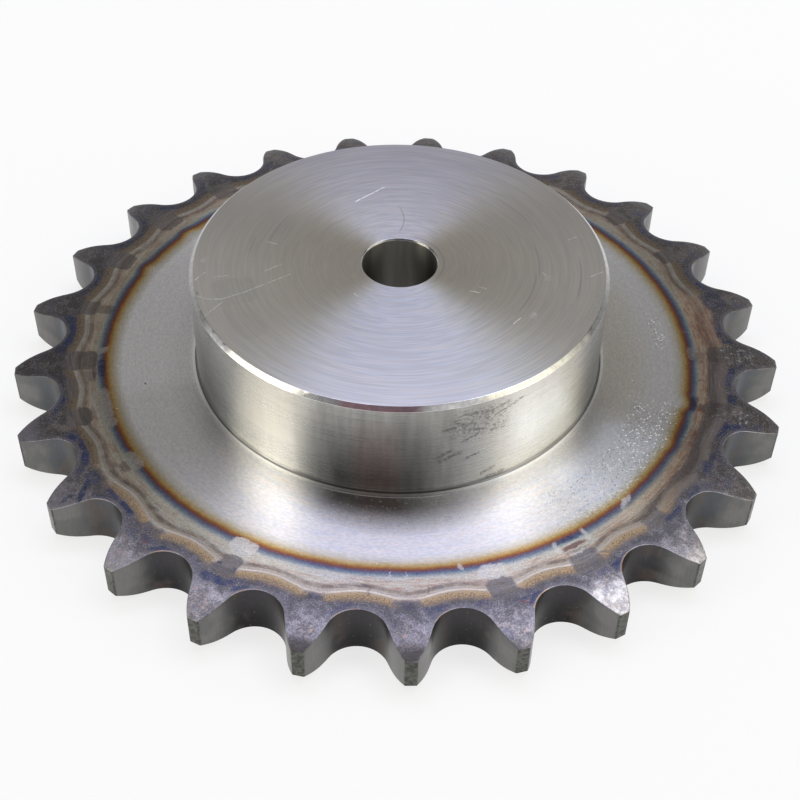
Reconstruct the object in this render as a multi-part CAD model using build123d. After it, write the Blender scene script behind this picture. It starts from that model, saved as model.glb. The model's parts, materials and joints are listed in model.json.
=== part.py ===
from build123d import *
import math
import os

# Simplex roller-chain sprocket with a hub on one side, turned and hobbed from one
# steel blank.  Millimetres.  The bore lies along Z, the plain back face of the
# plate on Z = 0, and the hub stands up towards +Z.  One tooth gap is centred on +Y.

# Chain that the teeth carry
CHAIN_PITCH = 31.75  # from roller to roller, 1 1/4 in
ROLLER_DIAMETER = 19.05  # 3/4 in

# Toothed rim
TEETH = 25
TIP_ADDENDUM = 6.4  # tip circle outside the pitch circle, on the radius
SEATING_ANGLE = 130.0  # degrees of roller that lie in the seat
FLANK_RADIUS = 90.0  # convex flank from the roller seat to the pitch circle
TOPPING_RADIUS = 25.0  # closer curve from the pitch circle to the tip
PLATE_WIDTH = 18.2  # thickness of the plate and of the teeth at their root
SIDE_RELIEF = 3.3  # how far each side of a tooth falls back at the tip
SIDE_RADIUS = 50.0  # rounding of the sides, which lets the chain's plates in

# Hub
HUB_DIAMETER = 140.0
OVERALL_LENGTH = 55.0  # back face to hub face
HUB_CHAMFER = 1.35
HUB_FILLET = 0.8  # corner left by the turning tool where the hub meets the plate
STEP_WIDTH = 1.6  # low ring that the facing cut leaves around the hub
STEP_HEIGHT = 0.15

# Pilot bore, to be opened to the shaft's size
BORE_DIAMETER = 25.0
BORE_CHAMFER = 0.5  # at both mouths

# Circles of the tooth form
pitch_radius = CHAIN_PITCH / (2 * math.sin(math.pi / TEETH))
root_radius = pitch_radius - ROLLER_DIAMETER / 2
tip_radius = pitch_radius + TIP_ADDENDUM
seat_radius = 0.505 * ROLLER_DIAMETER + 0.069 * ROLLER_DIAMETER ** (1 / 3)
seat_centre = root_radius + seat_radius  # out along the middle of the gap

# Rounded sides of the teeth: the arc leaves the flat face tangentially
relief_height = math.sqrt(SIDE_RELIEF * (2 * SIDE_RADIUS - SIDE_RELIEF))
relief_start = tip_radius - relief_height

# Radii and heights of the turned blank
hub_radius = HUB_DIAMETER / 2
bore_radius = BORE_DIAMETER / 2
step_top = PLATE_WIDTH + STEP_HEIGHT
cutter_run = HUB_CHAMFER + SIDE_RELIEF  # the hob runs out past the tips and both faces


def turned_section() -> Sketch:
    """Half-section of the blank, with X as the radius and Y as the height."""
    fillet_out = hub_radius + HUB_FILLET
    step_edge = fillet_out + STEP_WIDTH
    with BuildSketch() as section:
        with BuildLine():
            start = (bore_radius + BORE_CHAMFER, 0)
            back = Line(start, (relief_start, 0))
            JernArc(back @ 1, (1, 0), SIDE_RADIUS, relief_angle())
            Line((tip_radius, SIDE_RELIEF), (tip_radius, PLATE_WIDTH - SIDE_RELIEF))
            JernArc((relief_start, PLATE_WIDTH), (1, 0), SIDE_RADIUS, -relief_angle())
            Polyline(
                (relief_start, PLATE_WIDTH),
                (step_edge, PLATE_WIDTH),
                (step_edge, step_top),
                (fillet_out, step_top),
            )
            corner = JernArc((fillet_out, step_top), (-1, 0), HUB_FILLET, -90)
            Polyline(
                corner @ 1,
                (hub_radius, OVERALL_LENGTH - HUB_CHAMFER),
                (hub_radius - HUB_CHAMFER, OVERALL_LENGTH),
                (bore_radius + BORE_CHAMFER, OVERALL_LENGTH),
                (bore_radius, OVERALL_LENGTH - BORE_CHAMFER),
                (bore_radius, BORE_CHAMFER),
                start,
            )
        make_face()
    return section.sketch


def relief_angle() -> float:
    """Degrees of the side rounding, from the flat face to the tip circle."""
    return math.degrees(math.asin(relief_height / SIDE_RADIUS))


def arc_sweep(start: Vector, heading: Vector, radius: float, reach: float) -> float:
    """Degrees that an arc turns to the right, from start out to the circle of radius reach."""
    centre = start + heading.normalized().rotate(Axis.Z, -90) * radius
    # angles at the arc's centre, from the line to the sprocket's axis
    both = radius**2 + centre.length**2
    twice = 2 * radius * centre.length
    to_start = math.acos((both - start.length**2) / twice)
    to_reach = math.acos((both - reach**2) / twice)
    return math.degrees(to_reach - to_start)


def tooth_gap() -> Sketch:
    """Gap between two teeth, about +Y: roller seat and convex flanks, open outwards."""
    half_seat = SEATING_ANGLE / 2
    clear = tip_radius + cutter_run
    with BuildSketch() as gap:
        with BuildLine():
            seat = CenterArc((0, seat_centre), seat_radius, -90, half_seat)
            sweep = arc_sweep(seat @ 1, seat % 1, FLANK_RADIUS, pitch_radius)
            flank = JernArc(seat @ 1, seat % 1, FLANK_RADIUS, -sweep)
            sweep = arc_sweep(flank @ 1, flank % 1, TOPPING_RADIUS, clear)
            topping = JernArc(flank @ 1, flank % 1, TOPPING_RADIUS, -sweep)
            Line(topping @ 1, (0, (topping @ 1).Y))
            mirror(about=Plane.YZ)
        make_face()
    return gap.sketch


def sprocket() -> Part:
    """The turned blank with its tooth gaps cut through the rim."""
    blank = revolve(Plane.XZ * turned_section(), Axis.Z)
    cutter = extrude(tooth_gap(), PLATE_WIDTH + 2 * cutter_run)
    cutter = Pos(0, 0, -cutter_run) * cutter
    return blank - [turn * cutter for turn in PolarLocations(0, TEETH)]


os.makedirs("parts", exist_ok=True)
part = sprocket()
part.label = "sprocket"
export_step(part, "parts/sprocket.step")
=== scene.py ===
"""Chain sprocket: its visual mesh, turned and heat-tinted finishes, studio and camera."""

import json
import logging
import math
from collections.abc import Callable
from dataclasses import dataclass, field, replace
from enum import Enum
from functools import partial

import bmesh
import bpy
from mathutils import Matrix, Vector

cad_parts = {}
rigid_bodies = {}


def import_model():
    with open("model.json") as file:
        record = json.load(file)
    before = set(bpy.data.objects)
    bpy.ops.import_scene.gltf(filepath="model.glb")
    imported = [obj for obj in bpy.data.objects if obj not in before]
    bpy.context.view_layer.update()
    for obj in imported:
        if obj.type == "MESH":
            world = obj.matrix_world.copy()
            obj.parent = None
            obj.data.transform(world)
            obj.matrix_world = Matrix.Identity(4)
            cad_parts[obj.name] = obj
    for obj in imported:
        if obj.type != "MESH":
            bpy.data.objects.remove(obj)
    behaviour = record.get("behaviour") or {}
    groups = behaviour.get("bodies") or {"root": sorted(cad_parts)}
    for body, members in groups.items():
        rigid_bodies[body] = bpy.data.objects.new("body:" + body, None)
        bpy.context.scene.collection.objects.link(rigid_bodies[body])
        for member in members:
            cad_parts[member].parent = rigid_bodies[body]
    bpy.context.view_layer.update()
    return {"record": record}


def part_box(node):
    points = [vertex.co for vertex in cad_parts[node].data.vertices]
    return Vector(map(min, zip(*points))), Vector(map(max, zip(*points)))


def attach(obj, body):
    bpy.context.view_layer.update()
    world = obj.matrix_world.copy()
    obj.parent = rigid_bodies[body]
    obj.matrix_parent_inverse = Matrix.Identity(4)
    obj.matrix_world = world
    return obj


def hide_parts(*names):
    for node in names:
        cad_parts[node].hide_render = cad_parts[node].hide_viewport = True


MM = 0.001  # metres
NODE = "sprocket"
MERGE_DISTANCE = 0.001 * MM
RIDGE_GAP_MIDDLE = -27.0  # the bearing in degrees about which the wavy line is missing
RIDGE_GAP_HALF = 18.0  # degrees
RIDGE_GAP_FADE = 12.0  # degrees

log = logging.getLogger("sprocket")
Colour = tuple[float, float, float]
Wire = bpy.types.NodeSocket
Span = float | None | Callable[[float], float]
Part = tuple[float, float, float]  # where it starts and ends, and how far it fades beyond each

STEEL: Colour = (0.70, 0.69, 0.68)


# --- node trees ---


class Bench:
    """Adds nodes to one tree and links them, one call a node."""

    def __init__(self, tree: bpy.types.NodeTree) -> None:
        """Takes the tree that the nodes go into."""
        self.tree = tree

    def add(self, kind: str, **settings: object) -> bpy.types.Node:
        """Adds a node.

        Args:
            kind: the node's type name, without its "ShaderNode" prefix.
            settings: the node's own options.

        Returns:
            The new node.
        """
        node = self.tree.nodes.new("ShaderNode" + kind)
        for name, value in settings.items():
            setattr(node, name, value)
        return node

    def feed(self, socket: Wire, value: object) -> None:
        """Links a wire to a socket, or sets the socket to a plain value.

        Args:
            socket: the input socket.
            value: a wire, number or tuple.
        """
        if isinstance(value, bpy.types.NodeSocket):
            self.tree.links.new(value, socket)
        elif socket.type == "RGBA" and len(value) == 3:
            socket.default_value = (*value, 1.0)
        else:
            socket.default_value = value

    def math(self, operation: str, *values: object, clamp: bool = False) -> Wire:
        """Adds a Math node.

        Args:
            operation: the sum to do.
            values: its inputs.
            clamp: whether the result is kept within 0 and 1.

        Returns:
            The node's result.
        """
        node = self.add("Math", operation=operation, use_clamp=clamp)
        for socket, value in zip(node.inputs, values):
            self.feed(socket, value)
        return node.outputs[0]

    def times(self, first: object, second: object) -> Wire:
        """Multiplies two numbers."""
        return self.math("MULTIPLY", first, second)

    def plus(self, first: object, second: object) -> Wire:
        """Adds two numbers."""
        return self.math("ADD", first, second)

    def minus(self, first: object, second: object) -> Wire:
        """Takes the second number from the first."""
        return self.math("SUBTRACT", first, second)

    def most(self, first: object, second: object) -> Wire:
        """The larger of two numbers."""
        return self.math("MAXIMUM", first, second)

    def vector(self, operation: str, *values: object, scale: object = None) -> Wire:
        """Adds a Vector Math node.

        Args:
            operation: the sum to do.
            values: its vectors.
            scale: its number, for a SCALE.

        Returns:
            The node's result.
        """
        node = self.add("VectorMath", operation=operation)
        for socket, value in zip(node.inputs, values):
            self.feed(socket, value)
        if scale is not None:
            self.feed(node.inputs["Scale"], scale)
        return node.outputs["Value" if operation in ("LENGTH", "DOT_PRODUCT") else "Vector"]

    def split(self, vector: Wire) -> tuple[Wire, Wire, Wire]:
        """Takes a vector or colour apart.

        Args:
            vector: the vector.

        Returns:
            Its three parts.
        """
        node = self.add("SeparateXYZ")
        self.feed(node.inputs[0], vector)
        return tuple(node.outputs)

    def channels(self, colour: Wire) -> tuple[Wire, Wire, Wire]:
        """Takes a colour apart, without the conversion that split would need for it."""
        node = self.add("SeparateColor")
        self.feed(node.inputs[0], colour)
        return tuple(node.outputs)

    def join(self, x: object, y: object, z: object) -> Wire:
        """Makes a vector.

        Args:
            x: its first part.
            y: its second part.
            z: its third part.

        Returns:
            The vector.
        """
        node = self.add("CombineXYZ")
        for socket, value in zip(node.inputs, (x, y, z)):
            self.feed(socket, value)
        return node.outputs[0]

    def around(self, direction: Wire, scale: float, along: Wire, share: float = 1.0) -> Wire:
        """Makes a place for a texture that is wrapped about the axis.

        Args:
            direction: the unit vector away from the axis.
            scale: how often the texture changes for each radian.
            along: the number that it also changes with, in mm.
            share: how often it changes for each mm of that.

        Returns:
            The place.
        """
        x, y, _ = self.split(self.vector("SCALE", direction, scale=scale))
        return self.join(x, y, along if share == 1.0 else self.times(along, share))

    def noise(self, vector: Wire, scale: float, detail: float = 2.0, roughness: float = 0.5) -> Wire:
        """Adds a Noise texture.

        Args:
            vector: the place that it is read at.
            scale: its scale.
            detail: its octaves.
            roughness: the weight of its finer octaves.

        Returns:
            Its value, about 0.5 on average.
        """
        node = self.add("TexNoise", noise_dimensions="3D")
        values = (("Vector", vector), ("Scale", scale), ("Detail", detail), ("Roughness", roughness))
        for name, value in values:
            self.feed(node.inputs[name], value)
        return node.outputs[0]

    def drift(self, vector: Wire, scale: float, detail: float = 4.0) -> tuple[Wire, Wire]:
        """Adds a Noise texture that is read for two shifts.

        Args:
            vector: the place that it is read at.
            scale: its scale.
            detail: its octaves.

        Returns:
            Two values about 0, within half either way.
        """
        node = self.add("TexNoise", noise_dimensions="3D")
        for name, value in (("Vector", vector), ("Scale", scale), ("Detail", detail), ("Roughness", 0.7)):
            self.feed(node.inputs[name], value)
        first, second, _ = self.channels(node.outputs["Color"])
        return self.minus(first, 0.5), self.minus(second, 0.5)

    def group(self, tree: bpy.types.NodeTree, **values: object) -> dict[str, Wire]:
        """Places a node group.

        Args:
            tree: the group.
            values: its inputs, with spaces in their names as underscores.

        Returns:
            Its outputs by name.
        """
        node = self.add("Group")
        node.node_tree = tree
        for name, value in values.items():
            self.feed(node.inputs[name.replace("_", " ")], value)
        return {socket.name: socket for socket in node.outputs}

    def after(self, late: Wire, *values: Wire) -> list[Wire]:
        """Makes numbers wait for a later one, which doesn't change them."""
        # Cycles works out each number as early as it can and has room for 255 at a time. Masks that need
        # only the place would fill this room long before their turn.
        return [self.math("MULTIPLY_ADD", late, 0.0, value) for value in values]

    def rise(self, value: object, low: object, high: object, floor: float = 0.0, top: float = 1.0) -> Wire:
        """Adds a smooth step.

        Args:
            value: what is tested.
            low: the value at which the step starts.
            high: the value at which it is complete.
            floor: the result before the step.
            top: the result after it.

        Returns:
            The step.
        """
        node = self.add("MapRange", interpolation_type="SMOOTHSTEP")
        for socket, given in zip(node.inputs, (value, low, high, floor, top)):
            self.feed(socket, given)
        return node.outputs[0]

    def rise_linear(self, value: object, low: float, high: float) -> Wire:
        """Adds a straight ramp from 0 at low to 1 at high, clamped."""
        node = self.add("MapRange")
        for socket, given in zip(node.inputs, (value, low, high, 0.0, 1.0)):
            self.feed(socket, given)
        return node.outputs[0]

    def window(self, value: object, low: float, high: float, soft: float) -> Wire:
        """Adds a mask that is 1 from low to high and fades out over soft beyond each."""
        return self.times(self.rise(value, low - soft, low), self.rise(value, high, high + soft, 1.0, 0.0))

    def ramp(self, value: Wire, stops: list[tuple[float, Colour]]) -> Wire:
        """Adds a Color Ramp.

        Args:
            value: the place along it, from 0 to 1.
            stops: each stop's place and colour, in order.

        Returns:
            The colour.
        """
        node = self.add("ValToRGB")
        elements = node.color_ramp.elements
        while len(elements) < len(stops):
            elements.new(1.0)
        for element, (place, colour) in zip(elements, stops):
            element.position = place
            element.color = (*colour, 1.0)
        self.feed(node.inputs[0], value)
        return node.outputs[0]

    def mix_value(self, factor: object, base: object, top: object) -> Wire:
        """Mixes two numbers.

        Args:
            factor: the share of top.
            base: the number at factor 0.
            top: the number at factor 1.

        Returns:
            The mixed number.
        """
        node = self.add("Mix", data_type="FLOAT")
        self.feed(node.inputs[0], factor)
        self.feed(node.inputs[2], base)
        self.feed(node.inputs[3], top)
        return node.outputs[0]

    def mix(self, factor: object, base: object, top: object, blend: str = "MIX") -> Wire:
        """Adds a colour Mix node.

        Args:
            factor: the share of top.
            base: the colour at factor 0.
            top: the colour at factor 1.
            blend: the blend mode.

        Returns:
            The mixed colour.
        """
        node = self.add("Mix", data_type="RGBA", blend_type=blend)
        self.feed(node.inputs[0], factor)
        self.feed(node.inputs[6], base)
        self.feed(node.inputs[7], top)
        return node.outputs[2]

    def tint(self, factor: object, base: object, top: object) -> Wire:
        """Multiplies a colour by a second one, by the factor."""
        return self.mix(factor, base, top, "MULTIPLY")


# --- sizes ---


@dataclass
class SprocketSizes:
    """The sprocket's sizes in metres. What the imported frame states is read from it."""

    teeth: int
    pitch_radius: float
    tip_radius: float
    bore_radius: float
    length: float
    roller_diameter: float = 19.05 * MM
    seating_angle: float = math.radians(130.0)
    flank_radius: float = 90.0 * MM
    topping_radius: float = 25.0 * MM
    plate_width: float = 18.2 * MM
    side_relief: float = 3.3 * MM
    side_radius: float = 50.0 * MM
    hub_radius: float = 70.0 * MM
    hub_chamfer: float = 1.35 * MM
    hub_fillet: float = 0.8 * MM
    step_width: float = 1.6 * MM
    step_height: float = 0.15 * MM
    bore_chamfer: float = 0.5 * MM
    ridge_middle: float = 110.9 * MM  # the quenched line that waves from tooth to tooth
    ridge_swing: float = 1.15 * MM

    @classmethod
    def from_frame(cls, record: dict) -> "SprocketSizes":
        """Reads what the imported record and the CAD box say.

        Args:
            record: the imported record.

        Returns:
            The sizes.
        """
        mounts = {mount["name"]: mount for mount in record["mounts"]}
        chain = mounts["chain_teeth"]["dims"]
        low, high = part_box(NODE)
        return cls(
            teeth=chain["count"],
            pitch_radius=chain["pcd_mm"] / 2 * MM,
            tip_radius=-low.y,
            bore_radius=mounts["bore"]["dims"]["r_mm"] * MM,
            length=high.z,
        )

    @property
    def pitch_angle(self) -> float:
        """The angle from one tooth to the next."""
        return 2 * math.pi / self.teeth

    @property
    def root_radius(self) -> float:
        """The circle at the bottom of the gaps."""
        return self.pitch_radius - self.roller_diameter / 2

    @property
    def seat_radius(self) -> float:
        """The roller seat's own radius, from the standard tooth form."""
        roller = self.roller_diameter / MM
        return (0.505 * roller + 0.069 * roller ** (1 / 3)) * MM

    @property
    def seat_centre(self) -> float:
        """How far the centre of a roller seat is from the bore's axis."""
        return self.root_radius + self.seat_radius

    @property
    def flank_centre(self) -> Vector:
        """The centre of the flank that starts at the right end of a roller seat about +Y."""
        half_seat = self.seating_angle / 2
        outward = Vector((math.sin(half_seat), -math.cos(half_seat), 0))
        return Vector((0, self.seat_centre, 0)) + outward * (self.seat_radius + self.flank_radius)

    @property
    def topping_centre(self) -> Vector:
        """The centre of the closer curve that leads this flank from the pitch circle to the tip."""
        flank = self.flank_centre
        apart = math.acos(
            (flank.length_squared + self.flank_radius**2 - self.pitch_radius**2)
            / (2 * flank.length * self.flank_radius)
        )
        reach = -flank.normalized() * (self.flank_radius - self.topping_radius)
        return flank + Matrix.Rotation(-apart, 3, "Z") @ reach

    @property
    def relief_start(self) -> float:
        """The circle at which the sides of the teeth begin to fall back."""
        depth = self.side_relief
        return self.tip_radius - math.sqrt(depth * (2 * self.side_radius - depth))

    def ridge_radius(self, bearing: float, aside: float = 0.0) -> float:
        """How far out the wavy line is, or a line beside it: further behind a tooth than behind a gap."""
        return self.ridge_middle + self.ridge_swing * math.cos((bearing + math.pi / 2) * self.teeth) + aside

    @staticmethod
    def ridge_presence(bearing: float) -> float:
        """How much of the wavy line stands up, from 0 to 1: it fades out where the line is missing."""
        off = abs((math.degrees(bearing) - RIDGE_GAP_MIDDLE + 180) % 360 - 180)
        return min(1.0, max(0.0, (off - RIDGE_GAP_HALF) / RIDGE_GAP_FADE))

    def side_drop(self, radius: float) -> float:
        """How far the side of a tooth has fallen back at a radius, below the plate's flat face."""
        run = max(0.0, radius - self.relief_start)
        return self.side_radius - math.sqrt(self.side_radius**2 - run**2)


# --- mesh ---


class Region(Enum):
    """The differently finished surfaces, in the order of the mesh's material slots."""

    PLATE = 0
    RIM = 1
    FLANK = 2
    HUB_SIDE = 3
    HUB_FACE = 4
    CHAMFER = 5
    BORE = 6


@dataclass
class SprocketBody:
    """The whole sprocket as one closed mesh, grown from the outline of its teeth."""

    sizes: SprocketSizes
    seat_steps: int = 12
    flank_steps: int = 5
    topping_steps: int = 6
    land_steps: int = 2
    rim_rows: int = 18
    ridge_half: float = 0.45 * MM
    ridge_height: float = 0.08 * MM
    fillet_steps: int = 4
    tooth_edge: float = 0.3 * MM
    turned_edge: float = 0.12 * MM
    sharp_angle: float = math.radians(25.0)
    tooth_margin: float = 1.0 * MM  # how far inside the root circle the teeth's edges are looked for

    def build(self) -> bpy.types.Object:
        """Builds the mesh.

        Returns:
            The sprocket's object, at the origin.
        """
        sizes = self.sizes
        mesh_data = bmesh.new()
        back = self._outline(mesh_data)
        front = self._extend(mesh_data, back, None, sizes.plate_width, Region.FLANK)
        inner = self._rim(mesh_data, front, sizes.plate_width, -1, self.ridge_height)
        end = self._lathe(mesh_data, inner)
        back_inner = self._rim(mesh_data, back, 0.0, 1, 0.0)
        joint = bmesh.ops.bridge_loops(mesh_data, edges=end + back_inner)
        for face in joint["faces"]:
            face.material_index = Region.PLATE.value
        self._break_edges(mesh_data)
        bmesh.ops.recalc_face_normals(mesh_data, faces=mesh_data.faces)
        return self._finish(mesh_data)

    def _outline(self, mesh_data: bmesh.types.BMesh) -> list[bmesh.types.BMEdge]:
        """Draws the teeth: half a gap by four spins, its mirror image, then all the gaps.

        Args:
            mesh_data: the mesh to draw in.

        Returns:
            The edges of the closed outline.
        """
        sizes = self.sizes
        half_seat = sizes.seating_angle / 2
        centre = Vector((0, sizes.seat_centre, 0))
        point = bmesh.ops.create_vert(mesh_data, co=(0, sizes.root_radius, 0))["vert"][0]
        point = self._arc(mesh_data, point, centre, half_seat, self.seat_steps)
        for centre, reach, steps in (
            (sizes.flank_centre, sizes.pitch_radius, self.flank_steps),
            (sizes.topping_centre, sizes.tip_radius, self.topping_steps),
        ):
            point = self._arc(mesh_data, point, centre, -self._sweep(centre, point.co, reach), steps)
        to_middle = math.atan2(point.co.y, point.co.x) - (math.pi / 2 - sizes.pitch_angle / 2)
        self._arc(mesh_data, point, Vector(), -to_middle, self.land_steps)
        half = self._everything(mesh_data)
        bmesh.ops.mirror(mesh_data, geom=half, matrix=Matrix(), merge_dist=MERGE_DISTANCE, axis="X")
        bmesh.ops.spin(
            mesh_data, geom=self._everything(mesh_data), cent=(0, 0, 0), axis=(0, 0, 1),
            angle=2 * math.pi - sizes.pitch_angle, steps=sizes.teeth - 1, use_duplicate=True,
        )
        bmesh.ops.remove_doubles(mesh_data, verts=mesh_data.verts, dist=MERGE_DISTANCE)
        return list(mesh_data.edges)

    @staticmethod
    def _everything(mesh_data: bmesh.types.BMesh) -> list:
        """All of the mesh's vertices and edges."""
        return list(mesh_data.verts) + list(mesh_data.edges)

    @staticmethod
    def _arc(
        mesh_data: bmesh.types.BMesh, point: bmesh.types.BMVert, centre: Vector, angle: float, steps: int
    ) -> bmesh.types.BMVert:
        """Spins a vertex about a centre into an arc of some steps, and gives the vertex at its end."""
        spun = bmesh.ops.spin(
            mesh_data, geom=[point], cent=centre, axis=(0, 0, 1), angle=angle, steps=steps
        )
        return next(part for part in spun["geom_last"] if isinstance(part, bmesh.types.BMVert))

    @staticmethod
    def _sweep(centre: Vector, start: Vector, reach: float) -> float:
        """How far an arc turns from its start before it is at a reach from the axis."""
        radius, distance = (start - centre).length, centre.length
        to_reach = math.acos((radius**2 + distance**2 - reach**2) / (2 * radius * distance))
        return to_reach - (start - centre).angle(-centre)

    @staticmethod
    def _extend(
        mesh_data: bmesh.types.BMesh, loop: list, radius: Span, height: Span, region: Region
    ) -> list[bmesh.types.BMEdge]:
        """Extrudes a closed loop to a new radius and height.

        Args:
            mesh_data: the mesh that it is in.
            loop: the loop's edges.
            radius: the new distance from the axis, by bearing where it changes, or None for no change.
            height: the new height, likewise.
            region: the finish of the new faces.

        Returns:
            The new loop's edges.
        """
        grown = bmesh.ops.extrude_edge_only(mesh_data, edges=loop)["geom"]
        points = {part for part in grown if isinstance(part, bmesh.types.BMVert)}
        for point in points:
            flat = point.co.xy
            bearing = math.atan2(flat.y, flat.x)
            if radius is not None:
                flat = flat.normalized() * (radius(bearing) if callable(radius) else radius)
            point.co = (*flat, height(bearing) if callable(height) else height)
        for part in grown:
            if isinstance(part, bmesh.types.BMFace):
                part.material_index = region.value
        edges = [part for part in grown if isinstance(part, bmesh.types.BMEdge)]
        return [edge for edge in edges if set(edge.verts) <= points]

    def _set_sides(self, points: set, face: float, inward: int) -> None:
        """Sets the height of points on the teeth by the rounding of the teeth's sides.

        Args:
            points: the points.
            face: the height of the plate's flat face.
            inward: 1 where the plate's metal is above the face and -1 where it is below.
        """
        for point in points:
            point.co.z = face + inward * self.sizes.side_drop(point.co.xy.length)

    def _rim(
        self, mesh_data: bmesh.types.BMesh, outline: list, face: float, inward: int, ridge: float
    ) -> list[bmesh.types.BMEdge]:
        """Fills the rim from the teeth's outline in to the wavy ridge, in rows along the rounded sides.

        Args:
            mesh_data: the mesh that it is in.
            outline: the edges of the teeth's outline.
            face: the height of the plate's flat face.
            inward: 1 where the plate's metal is above the face and -1 where it is below.
            ridge: how far the ridge stands up.

        Returns:
            The edges of the ridge's inner foot.
        """
        sizes = self.sizes
        self._set_sides({point for edge in outline for point in edge.verts}, face, inward)
        outer_foot = partial(sizes.ridge_radius, aside=self.ridge_half)
        inner_foot = partial(sizes.ridge_radius, aside=-self.ridge_half)
        foot = self._extend(mesh_data, outline, outer_foot, face, Region.RIM)
        ring = {point for edge in foot for point in edge.verts}
        across = [edge for point in ring for edge in point.link_edges if len(set(edge.verts) & ring) == 1]
        cut = bmesh.ops.subdivide_edges(mesh_data, edges=across, cuts=self.rim_rows - 1, use_grid_fill=True)
        rows = {part for part in cut["geom_inner"] if isinstance(part, bmesh.types.BMVert)}
        self._set_sides(rows, face, inward)
        crest = self._extend(
            mesh_data, foot, sizes.ridge_radius,
            lambda bearing: face - inward * ridge * sizes.ridge_presence(bearing), Region.RIM,
        )
        return self._extend(mesh_data, crest, inner_foot, face, Region.PLATE)

    def _lathe(self, mesh_data: bmesh.types.BMesh, loop: list) -> list[bmesh.types.BMEdge]:
        """Turns the plate's face, the hub and the bore, from the ridge's inner foot on.

        Args:
            mesh_data: the mesh that it is in.
            loop: the edges of the ridge's inner foot.

        Returns:
            The edges at the bore's back mouth.
        """
        sizes = self.sizes
        top, step = sizes.plate_width, sizes.plate_width + sizes.step_height
        fillet = sizes.hub_radius + sizes.hub_fillet
        mouth = sizes.bore_radius + sizes.bore_chamfer
        stations = [
            (fillet + sizes.step_width, top, Region.PLATE),
            (fillet + sizes.step_width, step, Region.PLATE),
            (fillet, step, Region.PLATE),
        ]
        for index in range(1, self.fillet_steps + 1):
            turn = math.pi / 2 * index / self.fillet_steps
            radius = fillet - sizes.hub_fillet * math.sin(turn)
            stations.append((radius, step + sizes.hub_fillet * (1 - math.cos(turn)), Region.HUB_SIDE))
        stations += [
            (sizes.hub_radius, sizes.length - sizes.hub_chamfer, Region.HUB_SIDE),
            (sizes.hub_radius - sizes.hub_chamfer, sizes.length, Region.CHAMFER),
            (mouth, sizes.length, Region.HUB_FACE),
            (sizes.bore_radius, sizes.length - sizes.bore_chamfer, Region.CHAMFER),
            (sizes.bore_radius, sizes.bore_chamfer, Region.BORE),
            (mouth, 0.0, Region.CHAMFER),
        ]
        for radius, height, region in stations:
            loop = self._extend(mesh_data, loop, radius, height, region)
        return loop

    def _break_edges(self, mesh_data: bmesh.types.BMesh) -> None:
        """Rounds every sharp edge a little: the teeth's more than the turned ones.

        Args:
            mesh_data: the finished mesh.
        """
        sizes = self.sizes
        bmesh.ops.recalc_face_normals(mesh_data, faces=mesh_data.faces)
        sharp = [edge for edge in mesh_data.edges if edge.calc_face_angle(0.0) > self.sharp_angle]
        teeth_start = sizes.root_radius - self.tooth_margin
        teeth = [edge for edge in sharp if edge.verts[0].co.xy.length > teeth_start]
        turned = [
            edge
            for edge in sharp
            if edge.verts[0].co.xy.length < sizes.hub_radius + sizes.hub_fillet
            and edge.verts[0].co.z > sizes.plate_width + sizes.hub_fillet * 2
        ]
        for edges, offset in ((teeth, self.tooth_edge), (turned, self.turned_edge)):
            bmesh.ops.bevel(
                mesh_data, geom=edges, offset=offset, affect="EDGES", segments=2, profile=0.5, material=-1,
                clamp_overlap=True,
            )

    def _finish(self, mesh_data: bmesh.types.BMesh) -> bpy.types.Object:
        """Turns the mesh into a smooth-shaded object with flat faces kept flat.

        Args:
            mesh_data: the finished mesh.

        Returns:
            The object.
        """
        for face in mesh_data.faces:
            face.smooth = True
        mesh = bpy.data.meshes.new("sprocket_body")
        mesh_data.to_mesh(mesh)
        mesh_data.free()
        mesh.set_sharp_from_angle(angle=self.sharp_angle)
        piece = bpy.data.objects.new("sprocket_body", mesh)
        bpy.context.scene.collection.objects.link(piece)
        weighted = piece.modifiers.new("flat_faces", "WEIGHTED_NORMAL")
        weighted.keep_sharp = True
        return piece


# --- finishes ---


class Group:
    """A shader node group under construction: its sockets first, then its nodes."""

    def __init__(self, name: str, inputs: dict[str, str], outputs: dict[str, str]) -> None:
        """Args:
            name: the group's name.
            inputs: each input's socket type by its name, without its "NodeSocket" prefix.
            outputs: each output's socket type by its name, likewise.
        """
        self.tree = bpy.data.node_groups.new(name, "ShaderNodeTree")
        for in_out, sockets in (("INPUT", inputs), ("OUTPUT", outputs)):
            for socket, kind in sockets.items():
                self.tree.interface.new_socket(name=socket, in_out=in_out, socket_type="NodeSocket" + kind)
        self.bench = Bench(self.tree)
        self.given = self.tree.nodes.new("NodeGroupInput").outputs
        self.result = self.tree.nodes.new("NodeGroupOutput").inputs

    def give(self, **results: Wire) -> bpy.types.NodeTree:
        """Links the group's outputs, with spaces in their names as underscores.

        Args:
            results: the wire for each output.

        Returns:
            The finished node tree.
        """
        for name, wire in results.items():
            self.bench.feed(self.result[name.replace("_", " ")], wire)
        return self.tree


@dataclass(frozen=True)
class Place:
    """Where a point of the sprocket is, as wires of one node tree, in the order of the groups' outputs."""

    point: Wire  # mm
    radius: Wire  # mm from the bore's axis
    turn: Wire  # degrees to the right of the front tooth
    height: Wire  # mm
    round: Wire  # unit vector away from the axis
    off_tooth: Wire  # degrees to the right of the middle of the nearest tooth
    wave: Wire  # 1 at the middle of a tooth, -1 at the middle of a gap
    edge: Wire  # mm in from the outline of the teeth

    def sockets(self) -> dict[str, Wire]:
        """Its wires by the names of the sockets that they go into."""
        return {name.title(): wire for name, wire in vars(self).items()}

    def after(self, bench: Bench, late: Wire) -> "Place":
        """The same place, with its numbers waiting for a later one."""
        names = ("radius", "turn", "height", "wave", "edge")
        waiting = bench.after(late, *(getattr(self, name) for name in names))
        return replace(self, **dict(zip(names, waiting)))


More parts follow.
